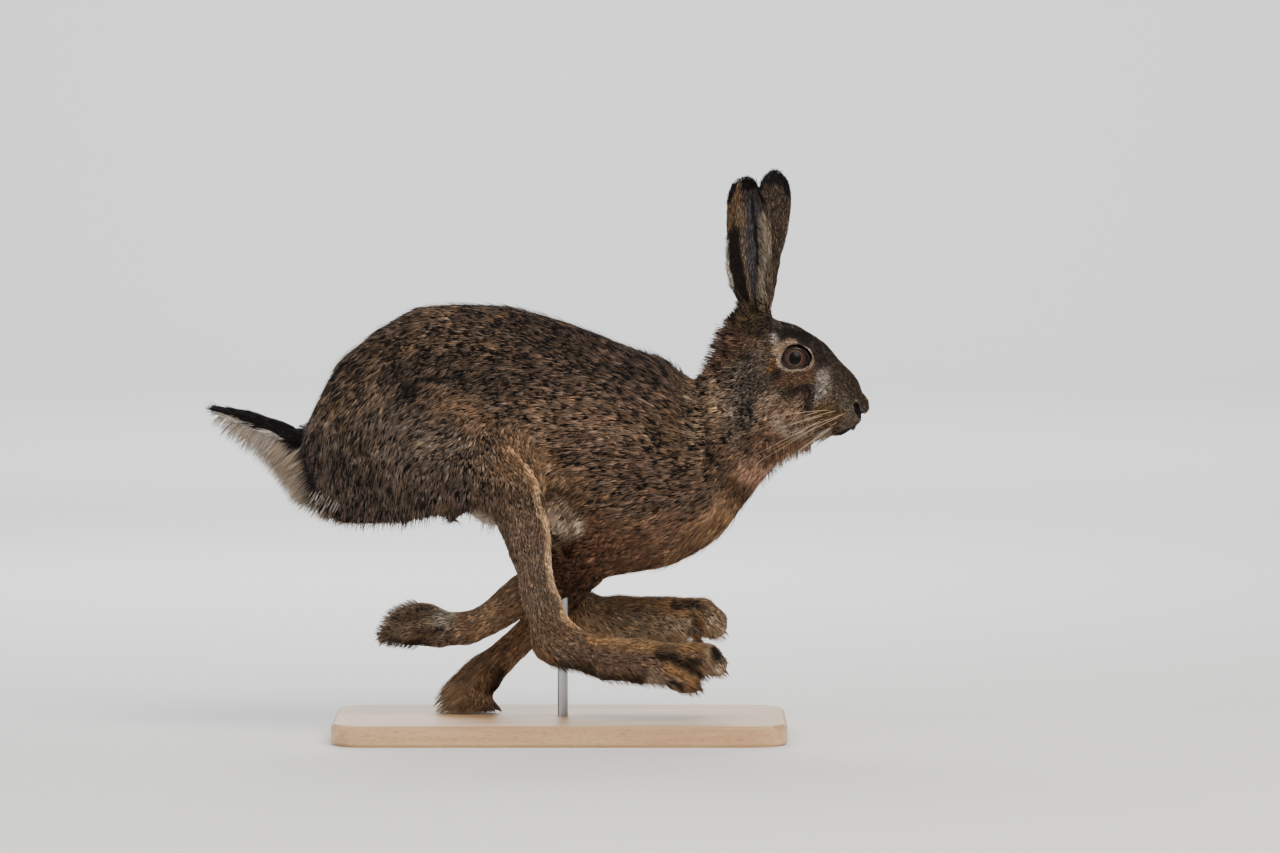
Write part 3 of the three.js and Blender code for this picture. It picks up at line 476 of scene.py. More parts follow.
RIGHT_FORELEG = [
    (40, -36, 140, -0.8, 0, -0.55, 9), (12, -38, 118, -0.83, 0, -0.55, 7.5),
    (-20, -36, 98, -0.85, 0, -0.5, 6.5), (-50, -32, 78, -0.85, 0, -0.5, 5.6),
    (-80, -32, 68, -0.97, 0, -0.2, 5), (-105, -32, 72, -0.98, 0, -0.1, 4.8),
    (-126, -24, 68, -0.8, 0, -0.6, 4.6), (-100, -22, 58, -0.9, 0, -0.3, 5.2),
]
LEFT_FORELEG = [
    (38, 36, 135, -0.75, 0, -0.65, 9), (12, 34, 102, -0.68, 0, -0.73, 7),
    (-12, 32, 74, -0.7, 0, -0.7, 6.5), (-40, 30, 46, -0.7, 0, -0.7, 5.6),
    (-62, 32, 24, -0.6, 0, -0.78, 5), (-72, 24, 10, -0.2, 0, -0.97, 4.5),
    (-56, 28, 8, 0.3, 0, -0.95, 4.2),
]
TAIL = [
    (-206, -8, 216, -0.93, 0, 0.36, 12), (-240, -5, 233, -0.95, 0, 0.3, 14),
    (-215, -10, 205, -0.8, -0.1, -0.6, 24),
]
EARS = [
    (152, 16, 320, 0, 0, 1, 5.5), (150, 22, 350, 0, 0.1, 1, 5.0), (150, 26, 385, 0, 0.05, 1, 4.6),
    (152, 29, 408, 0, 0, 1, 5),
]


def guides():
    """All the strokes, with their mirror images. The ears' are written for the left side."""
    rows = []
    for side in (1, -1):
        for strokes, turn in ((BOTH_SIDES + TAIL, side), (EARS, -side)):
            rows += [(x, y * turn, z, dx, dy * turn, dz, length) for x, y, z, dx, dy, dz, length in strokes]
        for x, y, z, dx, dy, dz, length, raised in HIND_LEG:
            rise = raised * LEFT_FOOT_RISE if side < 0 else 0
            rows.append((x, y * side, z + rise, dx, dy * side, dz, length))
    return np.array(rows + RIGHT_FORELEG + LEFT_FORELEG, float)


GUIDES = guides()
BATCH = 20000
BLEND_SQUARED = 20
FALL_OFF = 2.5


def combed(points):
    """The way the hair points at each point, and its length, from the guides near it."""
    ways = np.empty((len(points), 3))
    lengths = np.empty(len(points))
    for start in range(0, len(points), BATCH):
        part = points[start : start + BATCH]
        gone = ((part[:, None] - GUIDES[None, :, :3]) ** 2).sum(2)
        weight = 1 / (gone + BLEND_SQUARED) ** FALL_OFF
        weight /= weight.sum(1, keepdims=True)
        ways[start : start + BATCH] = weight @ GUIDES[:, 3:6]
        lengths[start : start + BATCH] = weight @ GUIDES[:, 6]
    return unit(ways), lengths


print(len(GUIDES), "comb strokes")

# %% [markdown]
# The solids reach to the tips of the coat, so the skin lies inside them by the coat's depth. Hair
# that lies flat stands about a quarter of its length off the skin. On most of the head it lies flatter
# than that, and at the end of the muzzle it stands higher. An ear's fur is only a fuzz.

# %% Sink the skin by the coat's depth
DEPTH_SHARE = 0.25
EAR_DEPTH = 0.5


def normals_of(mesh, points):
    mesh.vertices.foreach_set("co", to_metres(points).ravel())
    mesh.update()
    return read(mesh.vertex_normals, "vector")


skin_normals = normals_of(skin_mesh, skin_points)
hair_length = combed(skin_points)[1]
is_ear = np.isin(skin_part, [part_names.index("ear_right"), part_names.index("ear_left")])
is_head = skin_part == part_names.index("head")
shallow = np.where(is_head, 0.6 + 0.6 * fade(skin_points[:, 0], 205, 226), 1)
depth = np.where(is_ear, EAR_DEPTH, hair_length * shallow * DEPTH_SHARE)
depth = relax(depth[:, None], skin_edges, half, 10)[:, 0] + SWELL
skin_points = skin_points - skin_normals * depth[:, None]
skin_points = relax(skin_points, skin_edges, softness * 0.5, 6)
print("skin sunk by", round(depth.min(), 1), "to", round(depth.max(), 1), "mm")

# %% [markdown]
# ## The face
# The head is looked at first, so the parts of its skin are shaped one by one. Lids are a smooth rim
# that hugs the eyeball: each point near the eye gets a distance from the ball's middle that depends
# only on how far outside the opening it is. RIM gives those distances for shares of the opening's size.

# %% Eye sockets and lids
EYE = {"x": 177.6, "y": 15.4, "height": 271.5, "radius": 12.6, "long": 10.7, "high": 7.9}


def eye_frame(side):
    centre = np.array([EYE["x"], side * EYE["y"], EYE["height"]])
    out = unit(np.array([0.06, side * 0.985, 0.15]))
    up = np.array([-0.1, 0, 1.0])
    up = unit(up - out * (up @ out))
    fore = np.array([1.0, 0, 0])
    fore = unit(fore - out * (fore @ out))
    return centre, out, up, fore


def tear_corner(angle):
    """The opening is longer towards the tear duct, low in front."""
    return 1 + 0.22 * np.maximum(np.cos(angle + 0.6), 0) ** 12


def opening(points, side):
    """How far out of the eye's opening each point lies: 1 is on its edge."""
    centre, out, up, fore = eye_frame(side)
    v = points - centre
    angle = np.arctan2(v @ up / EYE["high"], v @ fore / EYE["long"])
    reach = np.hypot(v @ fore / EYE["long"], v @ up / EYE["high"]) / tear_corner(angle)
    return np.where(v @ out > 0, reach, 9.0)


RIM = [(0, 10), (0.9, 10.6), (1.0, 12.9), (1.1, 13.6), (1.3, 14.2), (1.6, 14.6)]
SOCKET_REACH = 22
for side in (-1, 1):
    centre, out, up, fore = eye_frame(side)
    reach = opening(skin_points, side)
    v = skin_points - centre
    distance = np.linalg.norm(v, axis=1)
    wanted = np.interp(reach, *zip(*RIM))
    pull = (1 - fade(reach, 1.15, 1.75)) * (distance < SOCKET_REACH)
    skin_points = skin_points + v / distance[:, None] * ((wanted - distance) * pull)[:, None]
lids = np.minimum(opening(skin_points, -1), opening(skin_points, 1)) < 1.6
print("points round the eyes", int(lids.sum()))

# %% [markdown]
# Nostrils, mouth and cheek fold are grooves pressed in along short lines, and the lower face and the
# upper lids are raised in the same way. A line is drawn in the side view, for both sides at once. From
# the front a hare's nose is much narrower than its cheeks, so the skin is first drawn in towards the
# middle there. That moves the skin under the nostril's line, so the line is laid on it again, 2 mm
# deep, where it still reaches the skin after the press.

# %% A narrow nose and its nostrils
NOSTRIL_PLACES = [(224.8, 236), (225.4, 232), (228, 228.8), (231, 227.6)]
NOSE_NARROWER = 0.32
UNDER_SKIN = 2

nose = fade(skin_points[:, 0], 194, 226) * fade(skin_points[:, 2], 223, 238)
skin_points[:, 1] *= 1 - NOSE_NARROWER * nose


def on_skin(places):
    """A line through places in the side view, just under the skin there."""
    rows = []
    for x, height in places:
        near = np.hypot(skin_points[:, 0] - x, skin_points[:, 2] - height) < 1.2
        rows.append((x, float(np.abs(skin_points[near, 1]).max()) - UNDER_SKIN, height))
    return rows


NOSTRIL = on_skin(NOSTRIL_PLACES)
print("nostril", [tuple(round(value, 1) for value in place) for place in NOSTRIL])

# %% Lips, cheek fold and lids
LIPS = [(203, 12.5, 216), (210, 11, 215.5), (216, 9, 216), (221, 6, 218), (224, 0, 220)]
PHILTRUM = [(231, 0, 231), (228, 0, 225), (222, 0, 220)]
CHEEK_FOLD = [(196, 19, 256), (193, 20, 244), (190, 18, 232)]
NOSE_TIP = [(233, 0, 236), (231, 0, 243), (226, 0, 252)]
LOWER_FACE = [(213, 6, 216), (220, 4, 220)]
NOSE_UNDER = [(227, 3, 228), (222, 4, 222)]
UPPER_LID = [(170, 27.5, 279), (176, 28.5, 283.5), (184, 27.5, 284), (191, 25, 280)]


def gap_to(points, line):
    """Distance from each point to a bent line, with both sides of the hare taken together."""
    p = points.copy()
    p[:, 1] = np.abs(p[:, 1])
    best = np.full(len(p), 1e9)
    for a, b in zip(np.array(line[:-1], float), np.array(line[1:], float)):
        step = b - a
        t = np.clip((p - a) @ step / (step @ step), 0, 1)
        best = np.minimum(best, np.linalg.norm(p - a - t[:, None] * step, axis=1))
    return best


def press(points, normals, line, width, by):
    """Pushes the skin in by a number of millimetres along a line. A negative number raises it."""
    return points - normals * (by * np.exp(-((gap_to(points, line) / width) ** 2)))[:, None]


skin_normals = normals_of(skin_mesh, skin_points)
before = skin_points
for line, width, by in (
    (NOSTRIL, 2.3, 4.6), (LIPS, 1.3, 1.6), (PHILTRUM, 1.2, 1.2), (CHEEK_FOLD, 4, 0.8), (NOSE_TIP, 7, 0.9),
    (LOWER_FACE, 4.5, -2.4), (NOSE_UNDER, 3.6, -3.2), (UPPER_LID, 2.6, -0.7),
):
    skin_points = press(skin_points, skin_normals, line, width, by)
skin_normals = normals_of(skin_mesh, skin_points)
moved = np.linalg.norm(skin_points - before, axis=1)
print("face moved by up to", round(float(moved.max()), 1), "mm")

# %% [markdown]
# Folds show where one muscle lies over the next: in front of the thigh, before the shoulder, between
# breast and upper arm, and along the tendon of each hind leg. Some places are filled out instead, such
# as the shin's edge, the front of the ankles, the withers and the head behind the ears. The left ankle
# is held higher than the right, so it has a filling of its own.

# %% Folds of the body
FOLDS = {
    # name: line of x, distance out and height; width; how deep, or how high when below nil
    "front of thigh": ([(-58, 62, 234), (-50, 62, 225), (-36, 61, 212), (-20, 58, 194), (-10, 54, 176)],
                       3.2, 4.5),
    "top of thigh": ([(-112, 60, 250), (-96, 62, 262), (-62, 58, 259)], 5, 1.6),
    "before shoulder": ([(113, 40, 240), (116, 42, 208), (113, 40, 186)], 5, 1.2),
    "behind breast": ([(112, 24, 168), (93, 36, 137), (66, 40, 124)], 4, 2.4),
    "under chest": ([(24, 44, 150), (60, 50, 160), (112, 38, 170)], 4, 1.6),
    "hind tendon": ([(-28, 62, 125), (-24, 61, 100), (-10, 60, 66)], 3, 1.2),
    "shin": ([(-48, 64, 212), (-30, 62, 190), (-14, 60, 150), (-8, 60, 115)], 5, -1.8),
    "ankle": ([(-4, 58, 98), (5, 58, 78), (18, 58, 66)], 7, -4.0),
    "right wrist": ([(-92, 20, 60), (-106, 20, 61), (-122, 20, 63)], 7, -2.4),
    "withers": ([(84, 0, 258), (92, 0, 255), (99, 0, 251)], 8, -2.5),
    "behind ears": ([(137, 9, 303), (130, 9, 298)], 7, -4.5),
    "heel": ([(-22, 48, 47), (-6, 48, 39), (12, 48, 33)], 7, 3.0),
}
LEFT_ANKLE = [(-4, 48, 106), (8, 48, 97), (20, 48, 90)]
for line, width, by in FOLDS.values():
    skin_points = press(skin_points, skin_normals, line, width, by)
on_left = skin_points[:, 1:2] > 0
skin_points = np.where(on_left, press(skin_points, skin_normals, LEFT_ANKLE, 9, -6), skin_points)
skin_normals = normals_of(skin_mesh, skin_points)
print(len(FOLDS), "folds and fillings:", ", ".join(FOLDS))

# %% [markdown]
# The small voxels were needed for the head, ears and toes, but the smooth trunk can do with fewer
# faces. A Decimate modifier thins it, and a vertex group keeps the fine parts as they are.

# %% Thin out the trunk's faces
SKIN_SHARE = 0.3
skin = bpy.data.objects.new("skin", skin_mesh)
bpy.context.scene.collection.objects.link(skin)
trunk_group = skin.vertex_groups.new(name="smooth_trunk")
level = np.clip((softness - 0.15) / 0.85, 0, 1)
for step in range(1, 11):
    members = np.flatnonzero(np.round(level * 10) == step)
    trunk_group.add(members.tolist(), step / 10, "REPLACE")
thin = skin.modifiers.new("fewer faces", "DECIMATE")
thin.ratio = SKIN_SHARE
thin.vertex_group = trunk_group.name
graph = bpy.context.evaluated_depsgraph_get()
thinned = bpy.data.meshes.new_from_object(skin.evaluated_get(graph))
skin.modifiers.clear()
skin.data = thinned
skin.vertex_groups.clear()
bpy.data.meshes.remove(skin_mesh)
skin_mesh = skin.data
skin_mesh.name = "skin"
skin_points = to_hare(read(skin_mesh.vertices, "co"))
skin_normals = read(skin_mesh.vertex_normals, "vector")
skin_part = part_of_solid[np.array([nearest.find(p)[1] for p in skin_points])]
skin_mesh.shade_smooth()
print("skin keeps", len(skin_mesh.polygons), "faces")

# %% [markdown]
# ## The markings
# A hare's coat is agouti: each hair is dark at the root, has a pale band, and often ends in a black
# tip. So a marking needs two things: the colour of the band, and the share of hairs with black tips.
# Each mark is a short stroke in the side view: its line, radius, soft edge, band colour and share of
# black tips. Later ones cover earlier ones. A group keeps a stroke on one part of the body, as legs
# pass in front of the belly.

# %% Marks on the trunk
GROUPS = {
    "trunk": ("head", "neck", "torso", "thigh", "tail"),
    "tail": ("tail",),
    "face": ("head", "neck"),
    "hind": ("thigh", "shank", "foot"),
    "foot": ("shank", "foot"),
    "fore": ("torso", "forearm", "paw"),
}
TRUNK_MARKS = [
    ([(-185, 225), (-140, 285), (-60, 315), (40, 285), (100, 258)], 36, 40, "#76604c", 0.54),
    ([(-150, 274), (-125, 290)], 8, 14, "#6e5a48", 0.55),
    ([(-100, 304), (-60, 306)], 10, 14, "#7b6450", 0.5),
    ([(-24, 298), (20, 286), (60, 268), (90, 254)], 9, 16, "#5a483a", 0.64),
    ([(-60, 245), (0, 250), (70, 240)], 22, 26, "#604e41", 0.46),
    ([(0, 215), (60, 208)], 24, 26, "#7f6652", 0.33),
    ([(84, 217), (92, 200)], 10, 14, "#69543f", 0.4),
    # painted shadow: a dark line along the fold in front of the thigh
    ([(-40, 220), (-27, 206), (-16, 189), (-11, 176)], 1.2, 4, "#2e231d", 0.7),
    ([(60, 180), (90, 178)], 18, 20, "#725b4a", 0.34),
    ([(-30, 205), (-14, 192), (0, 178), (10, 174)], 13, 16, "#7c6149", 0.1),
    ([(20, 140), (60, 136), (95, 138)], 14, 16, "#6c523e", 0.13),
    ([(84, 150), (96, 148)], 8, 10, "#785b47", 0.14),
    ([(114, 148), (122, 153), (140, 172)], 9, 12, "#8e6f53", 0.08),
    ([(30, 128), (60, 120), (95, 124)], 7, 10, "#72573f", 0.06),
    ([(-120, 215), (-95, 205)], 24, 30, "#6f5f51", 0.36),
    ([(-125, 264), (-95, 270), (-62, 264)], 7, 10, "#5f4e40", 0.5),
    # painted shade: a dark line in the fold over the thigh, and a dark spot in the hollow at its rear end
    ([(-112, 252), (-95, 262), (-64, 259)], 1.0, 4, "#3c2f27", 0.6),
    ([(-108, 252)], 5, 6, "#2c231e", 0.75),
    ([(-125, 165), (-80, 165)], 20, 24, "#5e4f45", 0.38),
    ([(-175, 205), (-160, 180)], 16, 22, "#5c4e44", 0.45),
    ([(-82, 241), (-68, 237), (-56, 227)], 4, 14, "#7b604a", 0.16),
]
print(len(TRUNK_MARKS), "marks on the trunk")

# %% Marks on the face and neck
FACE_MARKS = [
    ([(140, 290), (122, 276), (114, 262)], 9, 10, "#6f5444", 0.32),
    ([(126, 240), (120, 215)], 16, 14, "#8f775f", 0.3),
    ([(136, 212), (128, 196)], 14, 14, "#65503f", 0.28),
    ([(142, 178)], 11, 10, "#5a4331", 0.12),
    ([(158, 196), (149, 190)], 8, 8, "#987660", 0.06),
    # painted shadow: a thin dark line in the crease before the shoulder
    ([(110, 250), (116, 214), (114, 186)], 1, 5, "#5c483b", 0.5),
    ([(150, 262), (148, 240), (150, 222)], 14, 12, "#62564b", 0.48),
    ([(140, 299), (153, 299)], 6, 8, "#54442f", 0.5),
    ([(168, 298), (186, 293), (202, 276), (214, 264)], 9, 9, "#4e4239", 0.55),
    ([(214, 262), (226, 250), (232, 241)], 8, 7, "#574a3c", 0.5),
    ([(182, 232), (166, 236)], 10, 9, "#8a705b", 0.33),
    ([(160, 214), (172, 212)], 9, 8, "#745643", 0.16),
    ([(170, 206), (184, 204)], 5, 7, "#7c5c44", 0.06),
    ([(148, 210), (158, 207)], 7, 8, "#5e4838", 0.28),
    ([(186, 214), (176, 220), (166, 227)], 2, 6, "#9b8673", 0.15),
    ([(166, 244), (172, 252)], 6, 6, "#6c5846", 0.42),
    ([(165, 246), (158, 240)], 2, 5, "#927b66", 0.28),
    ([(200, 257), (199, 249), (196, 242)], 3.5, 7, "#9b8f83", 0.28),
    ([(202, 233), (210, 231), (217, 227)], 7, 7, "#6c5336", 0.3),
    ([(214, 238), (222, 233)], 4, 5, "#6c5f50", 0.4),
    ([(222, 226), (217, 222)], 3, 4, "#6f6256", 0.3),
    ([(188, 208.5), (197, 210), (205, 212)], 3, 4, "#9c8870", 0.06),
    # the dark lower lip, painted darker still for the shade under the upper lip
    ([(224, 219), (215, 215)], 1.5, 1.6, "#2a2421", 0.5),
    ([(178, 249), (186, 249), (190, 242), (190, 234)], 2.8, 6, "#43342b", 0.6),
    ([(170, 258), (180, 258.5), (189, 258)], 3, 5, "#644b38", 0.16),
    ([(162.5, 270), (162, 265.5)], 2.2, 3.6, "#6f5134", 0.12),
    ([(165.5, 261)], 2, 4, "#30251f", 0.6),
    ([(162.5, 288), (164, 285.5)], 1.6, 3.2, "#b0a69c", 0.35),
    ([(172, 290.5), (181, 290), (189, 285.5)], 1.2, 3, "#30271e", 0.7),
    ([(164.5, 278), (168, 282.5), (173.5, 284.6), (179, 284)], 2.0, 1.9, "#a88b70", 0.0),
]
print(len(FACE_MARKS), "marks on the face")

# %% [markdown]
# The front edge of each thigh and shin is a pale line. A foot has marks that run right round it, and
# others for its outer or its inner side alone: painted shade in the gaps between the toes, and pale toe tips.

# %% Marks on the legs
HIND_MARKS = [
    ([(-42, 150), (-26, 118), (-16, 86)], 16, 14, "#776150", 0.08),
    ([(-52, 160), (-44, 130)], 9, 10, "#655244", 0.14),
    ([(-16, 96), (-11, 82)], 7, 8, "#7a6653", 0.12),
    ([(-62, 232), (-48, 222), (-36, 210)], 2.0, 4, "#a17a58", 0.04),
    ([(-36, 210), (-26, 193), (-19, 179)], 2.4, 3.4, "#c1966f", 0.0),
    ([(-19, 179), (-12, 155), (-8, 130)], 1.6, 3.2, "#cda985", 0.0),
    ([(-8, 130), (-4, 105), (4, 84)], 1.8, 3.4, "#d4b08b", 0.0),
    ([(4, 84), (12, 73), (24, 63)], 4.2, 4, "#c79f74", 0.0),
    # painted shadow: a dark line along the fold in front of the thigh
    ([(-52, 227.5), (-37, 215.5), (-20, 196)], 0.8, 3, "#2e231d", 0.8),
]
FOOT_MARKS = [
    ([(-12, 60), (0, 54)], 16, 12, "#755d47", 0.08),
    ([(60, 46), (90, 46)], 18, 14, "#7b614a", 0.1),
    ([(16, 46), (48, 44)], 18, 12, "#705a49", 0.12),
    ([(22, 65), (38, 60), (64, 56)], 2.5, 5, "#a27e58", 0.02),
    ([(0, 44), (40, 34), (66, 31)], 4, 5, "#4c3c2c", 0.3),
]
OUTER_FOOT_MARKS = [
    ([(66, 32), (80, 30)], 3.5, 6, "#93836f", 0.1),
    # painted shade: dark lines and a slot in the gaps between the toes
    ([(72, 50), (84, 50), (98, 45)], 1.8, 5.5, "#42321f", 0.45),
    ([(83, 33.5), (88, 29.5)], 1.0, 3, "#3a2b20", 0.4),
    ([(80, 43), (91, 40), (98, 32)], 1.5, 3.5, "#94704a", 0.04),
    ([(88, 58), (104, 57)], 1.5, 3.5, "#94704a", 0.06),
    ([(109, 55), (111.5, 46), (110, 38)], 1.0, 3, "#a0866a", 0.04),
    # painted shade in the gaps between the toes
    ([(95, 43), (100, 38.5), (106, 34)], 1.2, 3, "#3a2c21", 0.5),
    ([(114, 54), (118, 48)], 1.2, 2.5, "#33261c", 0.6),
    ([(119, 42), (125, 40)], 2.5, 5, "#b29e87", 0.03),
]
INNER_FOOT_MARKS = [
    ([(10, 50), (60, 50), (100, 50)], 20, 10, "#876c51", 0.16),
    ([(20, 40), (60, 42), (90, 40)], 8, 12, "#8b7b68", 0.12),
    ([(30, 62), (70, 62), (100, 62)], 3, 7, "#8f6d4a", 0.12),
    ([(68, 56), (90, 54), (102, 48), (106, 40)], 1.6, 4, "#8f6d4a", 0.05),
    # painted shade: a dark line in the gaps between the toes
    ([(84, 59.5), (94, 58.5), (104, 55), (111, 51)], 1.3, 3, "#2a1f17", 0.6),
    ([(114, 45), (122, 40)], 4, 6, "#94826e", 0.06),
]
FORE_MARKS = [
    ([(60, 130), (30, 128)], 16, 14, "#694d39", 0.12),
    ([(24, 122), (8, 112)], 12, 10, "#4e3526", 0.2),
    ([(-20, 98), (-60, 74)], 14, 10, "#7a614a", 0.1),
    ([(-20, 66), (-45, 42)], 14, 10, "#7a614a", 0.08),
    ([(-98, 74), (-128, 72)], 11, 14, "#75614c", 0.2),
    ([(-102, 79), (-112, 76)], 3, 9, "#5d4c3c", 0.3),
    ([(-84, 79), (-90, 71)], 3, 8, "#8d8272", 0.06),
    ([(-106, 66), (-92, 66)], 1.5, 5, "#4f3d30", 0.35),
    ([(-98, 57), (-126, 59)], 1.5, 4, "#3a2d24", 0.45),
    ([(-60, 30), (-74, 14)], 14, 8, "#7d644c", 0.12),
    ([(-44, 34), (-52, 18)], 2, 5, "#3c2d22", 0.4),
    ([(-76, 22), (-84, 8)], 4, 7, "#8a735a", 0.05),
]


print(len(HIND_MARKS), "marks on the hind legs and", len(FORE_MARKS), "on the forelegs")

# %% [markdown]
# The strokes are laid on like thin paint, one over the other. Their edges are not straight on a real
# coat, so every place is first moved a little by smooth noise, which is a sum of waves in any
# direction. The left hind foot is held higher than the right one, so its places are brought down by
# as much before the same strokes are laid on, and those of the shank by a part of it.

# %% Smooth noise and the colour of a stroke
def ripple(points, size):
    """Smooth noise from -1 to 1 with bumps of about the given size in millimetres."""
    waves = np.random.default_rng(int(size * 10))
    total = np.zeros(len(points))
    for _ in range(8):
        way = unit(waves.normal(size=3))
        long = size * waves.uniform(1.2, 2.6)
        total += np.sin(points @ way * math.tau / long + waves.uniform(0, math.tau))
    return total / 5


def linear(code):
    """An sRGB hex colour as linear red, green and blue."""
    value = np.array([int(code[i : i + 2], 16) / 255 for i in (1, 3, 5)])
    return np.where(value <= 0.04045, value / 12.92, ((value + 0.055) / 1.055) ** 2.4)


def stroke_share(points, line, radius, soft):
    """How much of a side-view stroke covers each point, from 0 to 1."""
    p = points[:, [0, 2]]
    places = np.array(line, float)
    best = np.full(len(p), 1e9)
    if len(places) == 1:
        places = np.repeat(places, 2, 0)
    for a, b in zip(places, places[1:]):
        step = b - a
        t = np.clip((p - a) @ step / max(step @ step, 1e-9), 0, 1)
        best = np.minimum(best, np.linalg.norm(p - a - t[:, None] * step, axis=1))
    return 1 - fade(best, radius - soft * 0.3, radius + soft)


print("one stroke covers", stroke_share(np.zeros((1, 3)), [(0, 0)], 1, 1), "of its own place")

# %% Lay the marks on
SHANK_RAISED = 0.3


def in_group(parts, group):
    words = GROUPS[group]
    wanted = [i for i, name in enumerate(part_names) if name.endswith(words)]
    return np.isin(parts, wanted)


def lay_on(colour, black, share, code, tips):
    colour += share[:, None] * (linear(code) - colour)
    black += share * (tips - black)


def markings(points, normals, parts):
    """The band colour and the share of black tips at each point of the body."""
    colour = np.tile(linear("#6b5645"), (len(points), 1))
    black = np.full(len(points), 0.3)
    wobble = points + 2.5 * ripple(points, 14)[:, None]
    raised = wobble - np.array([0, 0, LEFT_FOOT_RISE]) * (wobble[:, 1:2] > 0)
    shin = wobble * (1 - SHANK_RAISED) + raised * SHANK_RAISED
    for group, marks, places in (
        ("trunk", TRUNK_MARKS, wobble), ("face", FACE_MARKS, wobble), ("hind", HIND_MARKS, shin),
        ("foot", FOOT_MARKS, raised), ("fore", FORE_MARKS, wobble),
    ):
        inside = in_group(parts, group)
        for line, radius, soft, code, tips in marks:
            lay_on(colour, black, stroke_share(places, line, radius, soft) * inside, code, tips)
    turned = fade(-normals[:, 1] * np.sign(points[:, 1]), -0.2, 0.2)
    for marks, share in ((OUTER_FOOT_MARKS, 1 - turned), (INNER_FOOT_MARKS, turned)):
        for line, radius, soft, code, tips in marks:
            inside = in_group(parts, "foot") * (raised[:, 0] > 14)
            lay_on(colour, black, stroke_share(raised, line, radius, soft) * inside * share, code, tips)
    belly_and_tail(points, normals, parts, colour, black)
    eyes_nose_and_lips(points, parts, colour, black)
    return colour, black


print("groups", list(GROUPS))

# %% [markdown]
# A few marks follow the form instead of the side view. White fur shows where the belly and the inner
# legs face down or in, the tail is black above and white below, and narrow rings follow the lids.

# %% Marks that follow the form
BELLY_PATCH = [(-3, 161), (4, 155), (9, 149)]
RUMP_LINE = [(-198, 212), (-191, 198), (-188, 184), (-183, 171)]


def belly_and_tail(points, normals, parts, colour, black):
    x, y, height = points.T
    trunk = in_group(parts, "trunk")
    length = fade(x, -185, -150) * (1 - fade(x, -15, 20))
    under = fade(-normals[:, 2], 0.45, 0.85) * fade(34 - np.abs(y), 0, 14) * length
    lay_on(colour, black, under * trunk * (height < 175), "#cfc0ae", 0.0)
    lay_on(colour, black, stroke_share(points, BELLY_PATCH, 5, 13) * trunk, "#f0d8be", 0.0)
    inner = fade(-normals[:, 1] * np.sign(y), 0.2, 0.7) * in_group(parts, "hind") * (height < 185)
    lay_on(colour, black, inner * (0.7 - 0.5 * fade(x, 10, 50)), "#cdb08e", 0.03)
    tail = in_group(parts, "tail") * 1.0
    lay_on(colour, black, tail, "#b3a89b", 0.05)
    lay_on(colour, black, tail * fade(normals[:, 2], -0.45, -0.1), "#1f1b1b", 0.9)
    line = stroke_share(points, RUMP_LINE, 3, 5) * (np.abs(y) < 46) * trunk
    lay_on(colour, black, line, "#2a2422", 0.9)


def eyes_nose_and_lips(points, parts, colour, black):
    for side in (-1, 1):
        centre = eye_frame(side)[0]
        reach = opening(points, side)
        near = (np.linalg.norm(points - centre, axis=1) < 23) & in_group(parts, "face")
        wider = 0.03 * fade(centre[2] - points[:, 2], -6, 6) + 0.06 * fade(points[:, 0] - EYE["x"], 4, 11)
        lay_on(colour, black, (1 - fade(reach, 1.17 + wider, 1.3 + wider)) * near, "#bba189", 0.0)
        lay_on(colour, black, (1 - fade(reach, 1.0, 1.07)) * near, "#241812", 0.0)
        duct = np.linalg.norm(points - (centre + [10.6, side * 8.5, -7]), axis=1)
        lay_on(colour, black, (1 - fade(duct, 1.0, 2.6)) * near, "#8a6656", 0.0)
    nostril = gap_to(points, NOSTRIL)
    lay_on(colour, black, 1 - fade(nostril, 3.4, 4.8), "#857766", 0.25)
    lay_on(colour, black, 1 - fade(nostril, 2.5, 3.1), "#0d0a09", 0.0)
    lay_on(colour, black, 1 - fade(gap_to(points, LIPS[1:]), 1.1, 2.2), "#262220", 0.0)


print("belly patch through", BELLY_PATCH)

# %% [markdown]
# The ears have their own marks, which follow the ear instead of the side view. Each point of an ear
# gets two numbers: how far it is along the ear, and how far across from the rear rim to the front.

